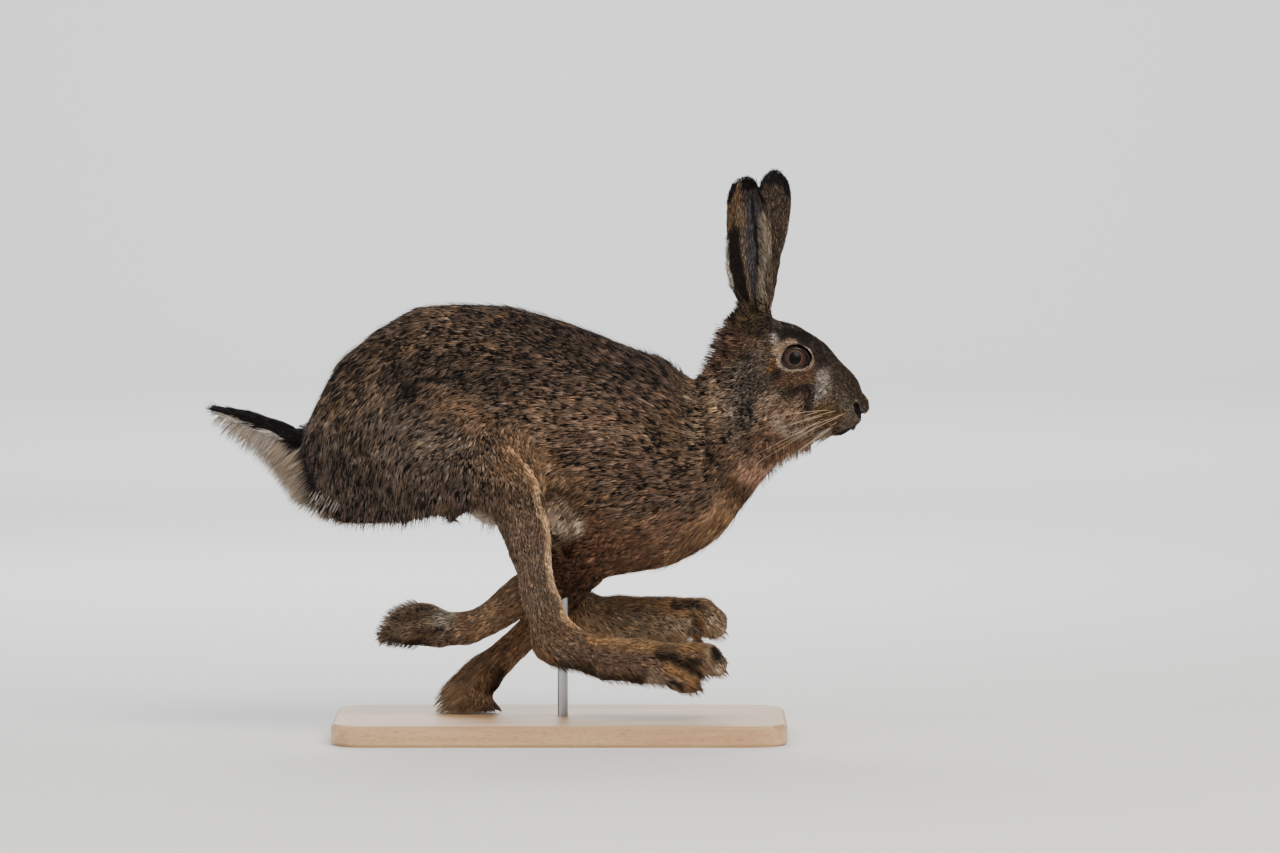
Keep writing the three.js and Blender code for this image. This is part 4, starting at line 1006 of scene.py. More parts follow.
# %% Marks on the ears
EAR_LINES = {
    -1: [(150, 306), (147, 338), (144.5, 370), (143, 397), (143, 409.5)],
    1: [(150, 306), (152.5, 338), (157, 370), (162.5, 400), (165, 413.5)],
}
EAR_HALVES = [(0, 11), (0.19, 15), (0.38, 17.6), (0.53, 18.3), (0.72, 17), (0.86, 13.6), (0.94, 10), (1, 4)]
EAR_MARKS = [
    # face of the ear, range along, rear edge at its foot and top, front edge at its foot and top,
    # softness, colour and share of black tips
    ("outside", -0.1, 1.1, -2.0, -2.0, 2.0, 2.0, 0.1, "#5c4d3f", 0.5),
    ("outside", 0.8, 1.0, -3.0, -3.0, -0.7, -0.4, 0.1, "#1d1816", 0.9),
    ("inside", -0.1, 1.1, -2.0, -2.0, 2.0, 2.0, 0.1, "#5a4b3d", 0.4),
    ("inside", 0.0, 0.8, -0.55, -0.6, -0.1, -0.12, 0.1, "#705f4f", 0.12),
    ("inside", 0.7, 0.92, -0.3, -0.3, 0.7, 0.5, 0.1, "#4f4645", 0.15),
    ("inside", 0.06, 0.36, -0.16, -0.3, 0.02, 0.34, 0.08, "#524c4e", 0.05),
    ("inside", 0.34, 0.8, -0.3, -0.2, 0.34, 0.5, 0.08, "#524c4e", 0.08),
    ("inside", 0.3, 0.82, 0.12, 0.08, 0.36, 0.22, 0.06, "#231c1c", 0.4),
    ("inside", 0.0, 0.34, 0.0, 0.3, 0.3, 0.66, 0.08, "#93836f", 0.02),
    ("inside", 0.34, 0.66, 0.42, 0.6, 0.7, 0.84, 0.12, "#a5957f", 0.02),
    ("inside", 0.04, 0.7, -2.5, -2.5, -0.4, -0.56, 0.08, "#241c1b", 0.6),
    ("inside", 0.7, 0.93, -2.5, -2.5, -0.25, -0.5, 0.1, "#66503a", 0.08),
    ("inside", 0.58, 0.72, -2.5, -2.5, -0.85, -0.75, 0.08, "#66503a", 0.08),
    ("inside", 0.62, 0.76, -0.7, -0.6, -0.2, -0.2, 0.1, "#75614a", 0.15),
    ("both", 0.885, 1.3, -0.45, -0.5, 3.0, 3.0, 0.05, "#171312", 1.0),
    ("both", 0.8, 0.94, 0.75, 0.45, 3.0, 3.0, 0.05, "#171312", 1.0),
    ("both", 0.955, 1.3, -3.0, -3.0, 3.0, 3.0, 0.03, "#171312", 1.0),
    ("inside", 0.78, 1.0, -3.0, -3.0, -0.93, -0.85, 0.05, "#171312", 1.0),
    ("both", -0.3, 0.06, -3.0, -3.0, 3.0, 3.0, 0.1, "#574733", 0.5),
    ("both", 0.0, 0.6, -3.0, -3.0, -1.16, -1.0, 0.05, "#a3988b", 0.02),
]


def ear_place(points):
    """How far along the ear, from 0 to 1, and how far across, from -1 to 1, each point lies."""
    along = np.zeros(len(points))
    across = np.zeros(len(points))
    for side, line in EAR_LINES.items():
        own = points[:, 1] * side > 0
        x, height = np.array(line, float).T
        t = (points[:, 2] - height[0]) / (height[-1] - height[0])
        middle = np.interp(points[:, 2], height, x)
        half = np.interp(t, *zip(*EAR_HALVES))
        along = np.where(own, t, along)
        across = np.where(own, (points[:, 0] - middle) / half, across)
    return along, across


def band_share(value, low, high, soft):
    return fade(value, low - soft, low + soft) * (1 - fade(value, high - soft, high + soft))


def ear_markings(points, normals, colour, black):
    along, across = ear_place(points)
    wavy = along + 0.02 * ripple(points, 9)
    sideways = across + 0.06 * ripple(points, 7)
    facing = normals @ np.array([-0.3, 0, 0]) + normals[:, 1] * np.sign(points[:, 1])
    hollow = fade(facing, -0.1, 0.2)
    for place, low, high, rear_low, rear_high, front_low, front_high, soft, code, tips in EAR_MARKS:
        rise = np.clip((wavy - low) / (high - low), 0, 1)
        rear = rear_low + (rear_high - rear_low) * rise
        front = front_low + (front_high - front_low) * rise
        share = band_share(wavy, low, high, soft * 0.4) * band_share(sideways, rear, front, soft)
        share *= {"inside": hollow, "outside": 1 - hollow, "both": 1.0}[place]
        lay_on(colour, black, share, code, tips)


def all_markings(points, normals, parts):
    colour, black = markings(points, normals, parts)
    ears = np.isin(parts, [part_names.index("ear_right"), part_names.index("ear_left")])
    ear_colour, ear_black = colour[ears], black[ears]
    ear_markings(points[ears], normals[ears], ear_colour, ear_black)
    colour[ears] = ear_colour
    black[ears] = ear_black
    return colour, black


skin_colour, skin_black = all_markings(skin_points, skin_normals, skin_part)
print("painted", len(skin_colour), "points of skin")

# %% [markdown]
# ## Materials of the hare
# A small function adds a node with its settings and links, so each material reads from top to bottom.

# %% A helper for nodes
def node(material, kind, settings=None, **inputs):
    """Adds a node. Inputs are values, or sockets of other nodes to link from."""
    new = material.node_tree.nodes.new(kind)
    for name, value in (settings or {}).items():
        setattr(new, name, value)
    for name, value in inputs.items():
        socket = next(s for s in new.inputs if s.enabled and name in (s.name.replace(" ", "_"), s.identifier))
        if isinstance(value, bpy.types.NodeSocket):
            material.node_tree.links.new(value, socket)
        else:
            socket.default_value = value
    return new


def new_material(name):
    material = bpy.data.materials.new(name)
    material.use_nodes = True
    material.node_tree.nodes.clear()
    return material


def finish_surface(material, **inputs):
    """Puts a Principled surface with these inputs on the material's output."""
    surface = node(material, "ShaderNodeBsdfPrincipled", **inputs)
    node(material, "ShaderNodeOutputMaterial", Surface=surface.outputs[0])


def rgba(code):
    return (*linear(code), 1.0)


def scale_of(size):
    """The scale that gives a noise texture bumps of this size in millimetres."""
    return 1 / (size * MM)


print("bumps of 1 mm need a scale of", round(scale_of(1)))

# %% [markdown]
# The coat is keratin hair. Each tuft has a dark grey-brown root, a band in the colour of its marking,
# and, on the share of tufts that are ticked, a black tip. Hair has an index of refraction of 1.55 and
# a soft shine. Three values are stored on the points of each tuft: the colour of its band, how far
# along the tuft a point is, and whether the tuft is ticked. Where the skin shows between tufts it is
# deep in the coat, so it has the same colours, darker, broken up by wisps about a millimetre wide.

# %% Agouti hair
MULTIPLY = {"data_type": "RGBA", "blend_type": "MULTIPLY"}
BLEND = {"data_type": "RGBA"}
TIMES = {"operation": "MULTIPLY"}
SMOOTH = {"interpolation_type": "SMOOTHSTEP"}
HAIR_IOR = 1.55
ROOT_SHADE = "#4a3e37"
ROOT_END = 0.4
TIP_BLACK = "#120e0c"
TIP_START = 0.36
TIP_FULL = 0.62


def agouti_hair():
    material = new_material("agouti_hair")
    band = node(material, "ShaderNodeAttribute", {"attribute_name": "band"}).outputs["Color"]
    along = node(material, "ShaderNodeAttribute", {"attribute_name": "along"}).outputs["Fac"]
    tick = node(material, "ShaderNodeAttribute", {"attribute_name": "tick"}).outputs["Fac"]
    rise = node(material, "ShaderNodeMapRange", SMOOTH, Value=along, From_Min=0.0, From_Max=ROOT_END)
    root = node(material, "ShaderNodeMix", MULTIPLY, Factor=1.0, A=band, B=rgba(ROOT_SHADE))
    paint = node(material, "ShaderNodeMix", BLEND, Factor=rise.outputs[0], A=root.outputs[2], B=band)
    end = node(material, "ShaderNodeMapRange", SMOOTH, Value=along, From_Min=TIP_START, From_Max=TIP_FULL)
    dark = node(material, "ShaderNodeMath", TIMES, Value=end.outputs[0], Value_001=tick)
    tipped = node(material, "ShaderNodeMix", BLEND, Factor=dark.outputs[0], A=paint.outputs[2],
                  B=rgba(TIP_BLACK))
    finish_surface(material, Base_Color=tipped.outputs[2], Roughness=0.6, IOR=HAIR_IOR,
                   Specular_IOR_Level=0.15)
    return material


HAIR = agouti_hair()
print("material", HAIR.name)

# %% The skin under the coat
WISP = 1.11


def short_undercoat():
    material = new_material("short_undercoat")
    band = node(material, "ShaderNodeAttribute", {"attribute_name": "band"}).outputs["Color"]
    tick = node(material, "ShaderNodeAttribute", {"attribute_name": "tick"}).outputs["Fac"]
    place = node(material, "ShaderNodeTexCoord").outputs["Object"]
    fine = node(material, "ShaderNodeTexNoise", Vector=place, Scale=scale_of(WISP), Detail=2.0).outputs["Fac"]
    shade = node(material, "ShaderNodeMapRange", Value=fine, From_Min=0.35, From_Max=0.65,
                 To_Min=0.35, To_Max=1.0)
    spots = node(material, "ShaderNodeMath", TIMES, Value=tick, Value_001=0.6)
    dark = node(material, "ShaderNodeMix", BLEND, Factor=spots.outputs[0], A=band, B=rgba("#241c18"))
    tone = node(material, "ShaderNodeMix", MULTIPLY, Factor=1.0, A=dark.outputs[2], B=shade.outputs[0])
    bump = node(material, "ShaderNodeBump", Height=fine, Strength=0.5, Distance=0.6 * MM)
    finish_surface(material, Base_Color=tone.outputs[2], Roughness=0.75, IOR=HAIR_IOR,
                   Specular_IOR_Level=0.15, Normal=bump.outputs[0])
    return material


def give(mesh, name, kind, values):
    """Stores one value or colour on each point of a mesh."""
    layer = mesh.attributes.new(name, kind, "POINT")
    if kind == "FLOAT_COLOR":
        values = np.column_stack([values, np.ones(len(values))])
        layer.data.foreach_set("color", values.ravel())
    else:
        layer.data.foreach_set("value", values)


UNDERCOAT = short_undercoat()
IN_SHADE = 0.5
give(skin_mesh, "band", "FLOAT_COLOR", skin_colour * IN_SHADE)
give(skin_mesh, "tick", "FLOAT", skin_black)
skin_mesh.materials.clear()
skin_mesh.materials.append(UNDERCOAT)
print("material", UNDERCOAT.name)

# %% [markdown]
# ## The coat
# Real hair is far too fine for a mesh, so the coat is made of tufts: small closed spindles of six
# triangles, each a tapered wisp of some tens of hairs. They lie the way the comb strokes say, overlap
# like slates, and lean towards their neighbours in small clumps, as hair does.

# %% Scatter roots over the skin
skin_mesh.calc_loop_triangles()
corners = read(skin_mesh.loop_triangles, "vertices", 3, np.int32)
corner_points = skin_points[corners]
edge_one, edge_two = corner_points[:, 1] - corner_points[:, 0], corner_points[:, 2] - corner_points[:, 0]
areas = np.linalg.norm(np.cross(edge_one, edge_two), axis=1) / 2
face_part = skin_part[corners[:, 0]]
face_middle = corner_points.mean(1)
rod_x = (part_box("stand_rod")[0].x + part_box("stand_rod")[1].x) / 2 / MM
ROD_HOLE = 5.5
SOLE = 2.5


def scatter(faces, density):
    """Random but even roots on some of the skin's faces: points, normals and parts."""
    weight = np.cumsum(areas[faces] * density)
    count = int(weight[-1])
    pick = np.searchsorted(weight, (np.arange(count) + chance.random(count)) / count * weight[-1])
    chosen = faces[np.minimum(pick, len(faces) - 1)]
    u, v = chance.random((2, count))
    flip = u + v > 1
    u, v = np.where(flip, 1 - u, u), np.where(flip, 1 - v, v)
    share = np.stack([1 - u - v, u, v], 1)
    points = (skin_points[corners[chosen]] * share[:, :, None]).sum(1)
    normals = unit((skin_normals[corners[chosen]] * share[:, :, None]).sum(1))
    return points, normals, skin_part[corners[chosen, 0]], chosen, share


def bare(points):
    """True where no tuft grows: eyes, nostrils, lips, the rod's hole and the sole on the ground."""
    eye = np.zeros(len(points), bool)
    for side in (-1, 1):
        near = np.linalg.norm(points - eye_frame(side)[0], axis=1) < SOCKET_REACH
        eye |= (opening(points, side) < 1.07) & near
    ahead = points - [2.2, 0, 0]
    nostril = np.minimum(gap_to(points, NOSTRIL), gap_to(ahead, NOSTRIL)) < 2.6
    mouth = (gap_to(points, LIPS) < 0.9) | (gap_to(points, PHILTRUM) < 0.8)
    rod = (np.hypot(points[:, 0] - rod_x, points[:, 1]) < ROD_HOLE) & (points[:, 2] < 175)
    return eye | nostril | mouth | rod | (points[:, 2] < SOLE)


print("skin area in square mm", {name: int(areas[face_part == i].sum()) for i, name in enumerate(part_names)})

# %% The shape of a tuft
ROOT_DEPTH = 0.6
RINGS = {1: [0.42], 3: [0.16, 0.46, 0.76]}
WIDTHS = {1: [1.0], 3: [0.75, 1.0, 0.62]}


def tuft_points(root, normal, way, length, width, lift, drop, rings, thick=0.4):
    """The points of every tuft, as an array of tufts by points by 3, and each one's share along."""
    up = np.sin(lift)[:, None] * normal
    start = way * np.cos(lift)[:, None] + up
    stop = way * np.cos(drop)[:, None] - normal * np.sin(drop)[:, None]
    across = unit(np.cross(way, normal))
    long = length[:, None]

    def at(s):
        return root + long * (s * start + s * s / 2 * (stop - start))

    places = [root - ROOT_DEPTH * normal]
    shares = [0.0]
    for s, wide in zip(RINGS[rings], WIDTHS[rings]):
        middle = at(s)
        half = across * (width * wide / 2)[:, None]
        ridge = normal * (width * wide * thick)[:, None]
        places += [middle - half, middle + half, middle + ridge]
        shares += [s, s, s]
    places.append(at(1.0))
    shares.append(1.0)
    return np.stack(places, 1), np.array(shares)


def tuft_faces(rings):
    """Triangles of one tuft. The upper ones come last."""
    under, over = [(1, 2, 0)], [(2, 3, 0), (3, 1, 0)]
    for r in range(rings - 1):
        a, b, c = 1 + 3 * r, 2 + 3 * r, 3 + 3 * r
        d, e, f = a + 3, b + 3, c + 3
        under += [(b, a, d), (b, d, e)]
        over += [(c, b, e), (c, e, f), (a, c, f), (a, f, d)]
    a, b, c = 3 * rings - 2, 3 * rings - 1, 3 * rings
    tip = 3 * rings + 1
    under.append((b, a, tip))
    over += [(c, b, tip), (a, c, tip)]
    return np.array(under + over)


print("a tuft with one ring has", len(tuft_faces(1)), "triangles, and with three rings", len(tuft_faces(3)))

# %% [markdown]
# Neighbours whose roots are in the same cell of a warped grid form a clump, and their tips are drawn
# together. Then all the tufts of a region become one mesh, written from arrays, because a hundred
# thousand triangles take too long one at a time. Each tuft also has its own small patch of a texture
# map, PATCH wide as a share of the map, so that its colours can be baked to an image.

# %% Clumps, and one mesh for many tufts
PATCH = 0.0015
CELL_STEPS = np.array([1, 4001, 16000001])


def tuft_patch(rings):
    """Where each point of a tuft lies in its own small patch of the texture map."""
    spots = [(-1, 0)]
    for r in range(rings):
        x = -0.6 + 1.2 * (r + 0.5) / rings
        spots += [(x, -1 + 0.3 * abs(x)), (x, 1 - 0.3 * abs(x)), (x + 0.05, 0)]
    spots.append((1, 0))
    return np.array(spots) * PATCH


def clump(tufts, shares, root, size, pull):
    """Draws the tips of near neighbours together, and returns each tuft's clump."""
    warp = np.stack([ripple(root, size * 2.3), ripple(root, size * 2.9), ripple(root, size * 3.7)], 1)
    cells = np.floor((root + warp * size * 0.5) / size).astype(np.int64)
    _, group = np.unique(cells @ CELL_STEPS, return_inverse=True)
    counts = np.bincount(group)
    tips = tufts[:, -1]
    middle = np.stack([np.bincount(group, tips[:, k]) for k in range(3)], 1) / counts[:, None]
    step = (middle[group] - tips) * pull[:, None]
    tufts += step[:, None] * (shares**2)[None, :, None]
    return group, len(counts)


def tuft_mesh(name, tufts, shares, rings, colour, tick, spots):
    count, each = tufts.shape[:2]
    faces = tuft_faces(rings)
    order = (np.arange(count)[:, None, None] * each + faces[None]).reshape(-1)
    mesh = bpy.data.meshes.new(name)
    mesh.vertices.add(count * each)
    mesh.vertices.foreach_set("co", to_metres(tufts.reshape(-1, 3)).ravel())
    total = count * len(faces)
    mesh.loops.add(total * 3)
    mesh.loops.foreach_set("vertex_index", order.astype(np.int32))
    mesh.polygons.add(total)
    mesh.polygons.foreach_set("loop_start", np.arange(0, total * 3, 3, dtype=np.int32))
    mesh.update(calc_edges=True)
    give(mesh, "band", "FLOAT_COLOR", np.repeat(colour, each, 0))
    give(mesh, "along", "FLOAT", np.tile(shares, count))
    give(mesh, "tick", "FLOAT", np.repeat(tick, each))
    layer = mesh.uv_layers.new(name="OFBake")
    corner_spots = np.repeat(spots, len(faces) * 3, 0) + np.tile(tuft_patch(rings)[faces.ravel()], (count, 1))
    layer.uv.foreach_set("vector", corner_spots.ravel())
    mesh.materials.append(HAIR)
    mesh.shade_smooth()
    return mesh


print("a tuft's patch has", len(tuft_patch(1)), "places")

# %% [markdown]
# A tuft's patch lies at its root's place on an unwrap of the skin below it. The unwrap is made on a
# copy of the skin's faces, region by region.

# %% Unwrap a region of the skin
def project(piece, layer):
    """Blender's Smart UV Project on one object."""
    if piece.name not in bpy.context.scene.collection.objects:
        bpy.context.scene.collection.objects.link(piece)
    piece.data.uv_layers.new(name=layer)
    bpy.ops.object.select_all(action="DESELECT")
    bpy.context.view_layer.objects.active = piece
    piece.select_set(True)
    bpy.ops.object.mode_set(mode="EDIT")
    bpy.ops.mesh.select_all(action="SELECT")
    bpy.ops.uv.smart_project(angle_limit=math.radians(66), island_margin=0.004)
    bpy.ops.object.mode_set(mode="OBJECT")


def unwrap(faces):
    """Texture places of the three corners of these faces."""
    used, order = np.unique(corners[faces], return_inverse=True)
    mesh = bpy.data.meshes.new("region")
    mesh.from_pydata((skin_points[used] * MM).tolist(), [], order.reshape(-1, 3).tolist())
    piece = bpy.data.objects.new("region", mesh)
    project(piece, "map")
    spots = read(mesh.uv_layers["map"].uv, "vector", 2).reshape(-1, 3, 2)
    bpy.data.objects.remove(piece)
    bpy.data.meshes.remove(mesh)
    return spots


project(skin, "OFBake")
print("the skin's own map has", len(skin_mesh.uv_layers["OFBake"].uv), "corners")

# %% [markdown]
# Sowing gives the roots of one piece of coat. Planting turns them into tufts: it adds stray, clumps
# and tone, and picks the tufts that end in black. Black tips come in clumps, which gives the broken,
# streaky pattern of a hare's back, instead of an even grey. On the head and ears a clump counts for
# less and each tuft for more, because the pattern is much finer there.

# %% Sow and plant
def sow(faces, density):
    """Roots on these faces. The density is one number, or one for each face of the skin."""
    level = np.broadcast_to(density, len(areas))[faces]
    root, normal, part, chosen, share = scatter(faces, level)
    keep = ~bare(root)
    spots = unwrap(faces)[np.searchsorted(faces, chosen)]
    spots = np.clip((spots * share[:, :, None]).sum(1), 0.003, 0.997)
    return root[keep], normal[keep], part[keep], spots[keep]


def on_surface(way, normal):
    return unit(way - normal * (way * normal).sum(1, keepdims=True))


FINE = ("coat_head", "coat_ears")
CONTRAST = {"coat_head": 1.35, "coat_ears": 1.3, "locks_tail": 0.5, "locks_chin": 0.7}
CLUMP_TONE, OWN_TONE, OWN_TICK = 0.28, 0.18, 0.3
FINE_CLUMP_TONE, FINE_OWN_TONE, FINE_OWN_TICK = 0.16, 0.28, 0.6


def plant(name, sown, way, length, width, lift, size, pull, colour, black, rings=1, drop=4):
    root, normal, _, spots = sown
    count = len(root)
    angle = np.radians(lift) * chance.uniform(0.75, 1.25, count)
    fall = np.radians(drop + chance.uniform(-5, 5, count))
    wide = width * chance.uniform(0.75, 1.25, count)
    tufts, shares = tuft_points(root, normal, way, length, wide, angle, fall, rings)
    group, clumps = clump(tufts, shares, root, size, pull * chance.uniform(0.5, 1.3, count))
    low = np.minimum(root[:, 2:3] - 0.5, 0.5)
    tufts[:, :, 2] = np.maximum(tufts[:, :, 2], np.maximum(low, 0.3))
    spread = CONTRAST.get(name, 1.0)
    fine = name in FINE
    shared, alone = (FINE_CLUMP_TONE, FINE_OWN_TONE) if fine else (CLUMP_TONE, OWN_TONE)
    tone = chance.normal(0, shared, clumps)[group] + chance.normal(0, alone, count) + 0.1 * ripple(root, 13)
    tone = np.exp(spread * tone)
    warm = 1 + chance.normal(0, 0.05, clumps)[group][:, None] * np.array([1.0, 0.2, -1.0])
    own = FINE_OWN_TICK if fine else OWN_TICK
    mood = (1 - own) * chance.random(clumps)[group] + own * chance.random(count) + 0.16 * ripple(root, 9)
    tick = fade(black * 1.15 - mood, -0.06, 0.08)
    mesh = tuft_mesh(name, tufts, shares, rings, colour * tone[:, None] * warm, tick, spots)
    return piece_of(name, mesh)


def piece_of(name, mesh):
    piece = bpy.data.objects.new(name, mesh)
    bpy.context.scene.collection.objects.link(piece)
    return piece


coat = {}
print("ready to sow")

# %% [markdown]
# Now the coat goes on, one region at a time. Regions differ in how many tufts a square millimetre
# has, how wide they are, how high they stand, and how large their clumps are. Tufts on the face, ears
# and feet are smallest, and the fur gets shorter towards the lids.

# %% Regions of the coat
BACK = (-200, 20)
FRONT = (20, 140)
ALL = (-400, 400)
REGIONS = {
    # name: parts, side, range of x, tufts per square mm, width, lift in degrees, clump size, pull
    "coat_head": (["head"], 0, ALL, 1.62, 0.62, 24, 2.0, 0.35),
    "coat_ears": (["ear_right", "ear_left"], 0, ALL, 0.85, 0.6, 15, 2.2, 0.35),
    "coat_neck": (["neck"], 0, ALL, 1.0, 1.0, 34, 3.2, 0.55),
    "coat_back_right": (["torso"], -1, BACK, 0.72, 1.15, 31, 3.4, 0.6),
    "coat_back_left": (["torso"], 1, BACK, 0.52, 1.3, 31, 3.4, 0.6),
    "coat_chest_right": (["torso"], -1, FRONT, 0.72, 1.15, 31, 3.4, 0.6),
    "coat_chest_left": (["torso"], 1, FRONT, 0.56, 1.25, 31, 3.4, 0.6),
    "coat_thigh_right": (["hindleg_right_thigh"], 0, ALL, 0.72, 1.05, 29, 3.2, 0.55),
    "coat_thigh_left": (["hindleg_left_thigh"], 0, ALL, 0.5, 1.25, 29, 3.2, 0.55),
    "coat_hind_leg_right": (["hindleg_right_shank", "hindleg_right_foot"], 0, ALL, 0.8, 0.75, 22, 2.4, 0.45),
    "coat_hind_leg_left": (["hindleg_left_shank", "hindleg_left_foot"], 0, ALL, 0.68, 0.75, 22, 2.4, 0.45),
    "coat_foreleg_right": (["foreleg_right_forearm", "foreleg_right_paw"], 0, ALL, 0.95, 0.75, 22, 2.4, 0.45),
    "coat_foreleg_left": (["foreleg_left_forearm", "foreleg_left_paw"], 0, ALL, 0.95, 0.75, 22, 2.4, 0.45),
    "coat_tail": (["tail"], 0, ALL, 1.4, 0.8, 26, 3.0, 0.4),
}


def region_faces(parts, side, reach):
    inside = np.isin(face_part, [part_names.index(name) for name in parts])
    inside &= (face_middle[:, 0] > reach[0]) & (face_middle[:, 0] <= reach[1])
    if side:
        inside &= face_middle[:, 1] * side > 0
    return np.flatnonzero(inside)


def grow(name, parts, side, reach, density, width, lift, size, pull, longer=1.0, darker=0.0):
    sown = sow(region_faces(parts, side, reach), density)
    root, normal, part, _ = sown
    count = len(root)
    way, length = combed(root)
    stray = np.stack([ripple(root, 17), ripple(root, 23), ripple(root, 29)], 1) * 0.15
    way = on_surface(way + stray + chance.normal(0, 0.08, (count, 3)), normal)
    length = length * chance.uniform(0.8, 1.3, count) * longer
    lid = np.minimum(opening(root, -1), opening(root, 1))
    length = length * np.where(in_group(part, "face"), 0.5 + 0.5 * fade(lid, 1.15, 1.9), 1)
    width = width * np.clip(length / 6, 0.75, 1)
    hang = fade(-normal[:, 2], 0.2, 0.9) * ~in_group(part, "face")
    colour, black = all_markings(root, normal, part)
    return plant(name, sown, way, length, width, lift + 12 * hang, size, pull, colour, black + darker)


for name, settings in REGIONS.items():
    coat[name] = grow(name, *settings)
    print(name, len(coat[name].data.polygons), "triangles")

# %% [markdown]
# Over the coat stand the guard hairs. They are longer, thinner and mostly black, there are few of
# them, and they are what makes the outline of a hare look soft.

# %% Guard hairs
TRUNK = ["torso", "neck", "hindleg_right_thigh", "hindleg_left_thigh"]
coat["guard_hairs"] = grow("guard_hairs", TRUNK, 0, ALL, 0.062, 0.42, 42, 3.4, 0.3, longer=1.3, darker=0.15)
print("guard hairs", len(coat["guard_hairs"].data.polygons), "triangles")

# %% [markdown]
# Longer hair stands out in many places, and breaks the outline there: on the breeches, down the rump's
# dark line, along belly and thigh, on the crown, nape and withers, at throat, ruff and chin, and round
# the feet and paws. These locks have three rings, so that they can bend. Each kind is laid on the faces
# that pass a test of their place p and normal n. It has a density, a way to point, a range of lengths,
# a width, a lift in degrees, and a colour with its share of black tips, or none to follow the marks.

# %% How a kind of lock is laid
def lock_faces(parts, test):
    inside = np.isin(face_part, [part_names.index(name) for name in parts])
    return np.flatnonzero(inside & test(face_middle, face_normal))


def lay_locks(name, parts, test, density, way, length, width, lift, code, black, drop=0, pull=0.35, fan=0.0):
    """Locks that point about one way, or the way they are combed, on the faces that pass a test."""
    sown = sow(lock_faces(parts, test), density)
    root, normal = sown[:2]
    count = len(root)
    aim = combed(root)[0] if way is None else np.array(way, float)
    aim = aim + chance.normal(0, 0.12, (count, 3)) + 0.12 * ripple(root, 15)[:, None]
    aim = aim + fan * normal * [1, 0, 1]
    free = (aim * normal).sum(1, keepdims=True) > 0
    aim = np.where(free & (way is not None), unit(aim), on_surface(aim, normal))
    long = chance.uniform(*length, count)
    if code is None:
        colour, dark = all_markings(root, normal, sown[2])
    else:
        colour, dark = np.tile(linear(code), (count, 1)), np.full(count, float(black))
    coat[name] = plant(name, sown, aim, long, width, lift, 3.5, pull, colour, dark, 3, drop)
    print(name, count, "locks")


face_normal = unit(skin_normals[corners].mean(1))
THIGHS = ["hindleg_right_thigh", "hindleg_left_thigh"]
FEET = ["hindleg_right_foot", "hindleg_left_foot"]
EARS_BOTH = ["ear_right", "ear_left"]
print("ready to lay locks")

# %% Locks of the trunk
lay_locks("locks_breeches", THIGHS + ["torso"],
          lambda p, n: (p[:, 0] < -171) & (p[:, 2] < 176) & (np.abs(p[:, 1]) < 50) & (n[:, 0] < 0.1),
          0.2, (-0.5, 0, -0.85), (10, 17), 0.7, 10, "#988d82", 0.2)
lay_locks("locks_rump_line", THIGHS + ["torso"],
          lambda p, n: (p[:, 0] < -176) & (np.abs(p[:, 2] - 185) < 21) & (np.abs(p[:, 1]) < 46)
          & (n[:, 0] < -0.3),
          0.12, (-0.75, 0, -0.66), (8, 15), 0.6, 26, "#3a3230", 0.9, pull=0.5)
lay_locks("locks_belly", ["torso"],
          lambda p, n: (n[:, 2] < -0.55) & (p[:, 0] > -10) & (p[:, 0] < 118),
          0.07, (-0.8, 0, -0.6), (7, 11), 0.5, 10, None, 0, pull=0.6)
lay_locks("locks_thigh_fringe", THIGHS + ["torso"],
          lambda p, n: (p[:, 2] < 170) & (n[:, 2] < -0.2) & (p[:, 0] < -40),
          0.12, (-0.12, 0, -1), (8, 15), 0.55, 12, None, 0, pull=0.6)

# %% Locks of the neck and head
lay_locks("locks_nape", ["neck", "head"],
          lambda p, n: (np.abs(p[:, 1]) < 22) & (p[:, 0] < 140) & (np.abs(p[:, 2] - 274) < 20)
          & (n[:, 2] > -0.1) & (n[:, 0] < 0.3),
          0.3, (-1, 0, 0.1), (7, 11), 0.7, 34, None, 0, pull=0.8)
lay_locks("locks_crown", ["neck", "head"] + EARS_BOTH,
          lambda p, n: (np.abs(p[:, 1]) < 26) & (p[:, 0] < 143) & (np.abs(p[:, 2] - 302) < 10)
          & (n[:, 0] < -0.1),
          0.6, (-0.6, 0, 0.8), (5, 8), 0.55, 28, None, 0, pull=0.6)
lay_locks("locks_withers", ["torso"],
          lambda p, n: (np.abs(p[:, 1]) < 18) & (p[:, 0] > 74) & (p[:, 0] < 94) & (n[:, 2] > 0.3),
          0.2, (-0.6, 0, 0.8), (9, 13), 0.7, 30, "#2c231e", 0.8, drop=-4, pull=0.8)
lay_locks("locks_throat", ["neck", "head", "torso"],
          lambda p, n: (np.abs(p[:, 1]) < 16) & (n[:, 2] < -0.2) & (p[:, 0] > 100) & (p[:, 2] < 212),
          0.1, (-0.6, 0, -0.75), (9, 16), 0.6, 12, None, 0, drop=-4, pull=0.6)
lay_locks("locks_ruff", ["neck", "head"],
          lambda p, n: (p[:, 0] > 158) & (p[:, 0] < 190) & (p[:, 2] < 214) & (n[:, 2] < -0.1),
          0.4, (0.05, 0, -1), (8, 13), 0.55, 10, "#7c5e48", 0.1, pull=0.7)
lay_locks("locks_chin", ["head"],
          lambda p, n: (p[:, 0] > 184) & (p[:, 0] < 208) & (n[:, 2] < -0.25) & (p[:, 2] < 220),
          0.4, (-0.8, 0, -0.5), (6, 10), 0.45, 16, "#96836e", 0.08, pull=0.5)

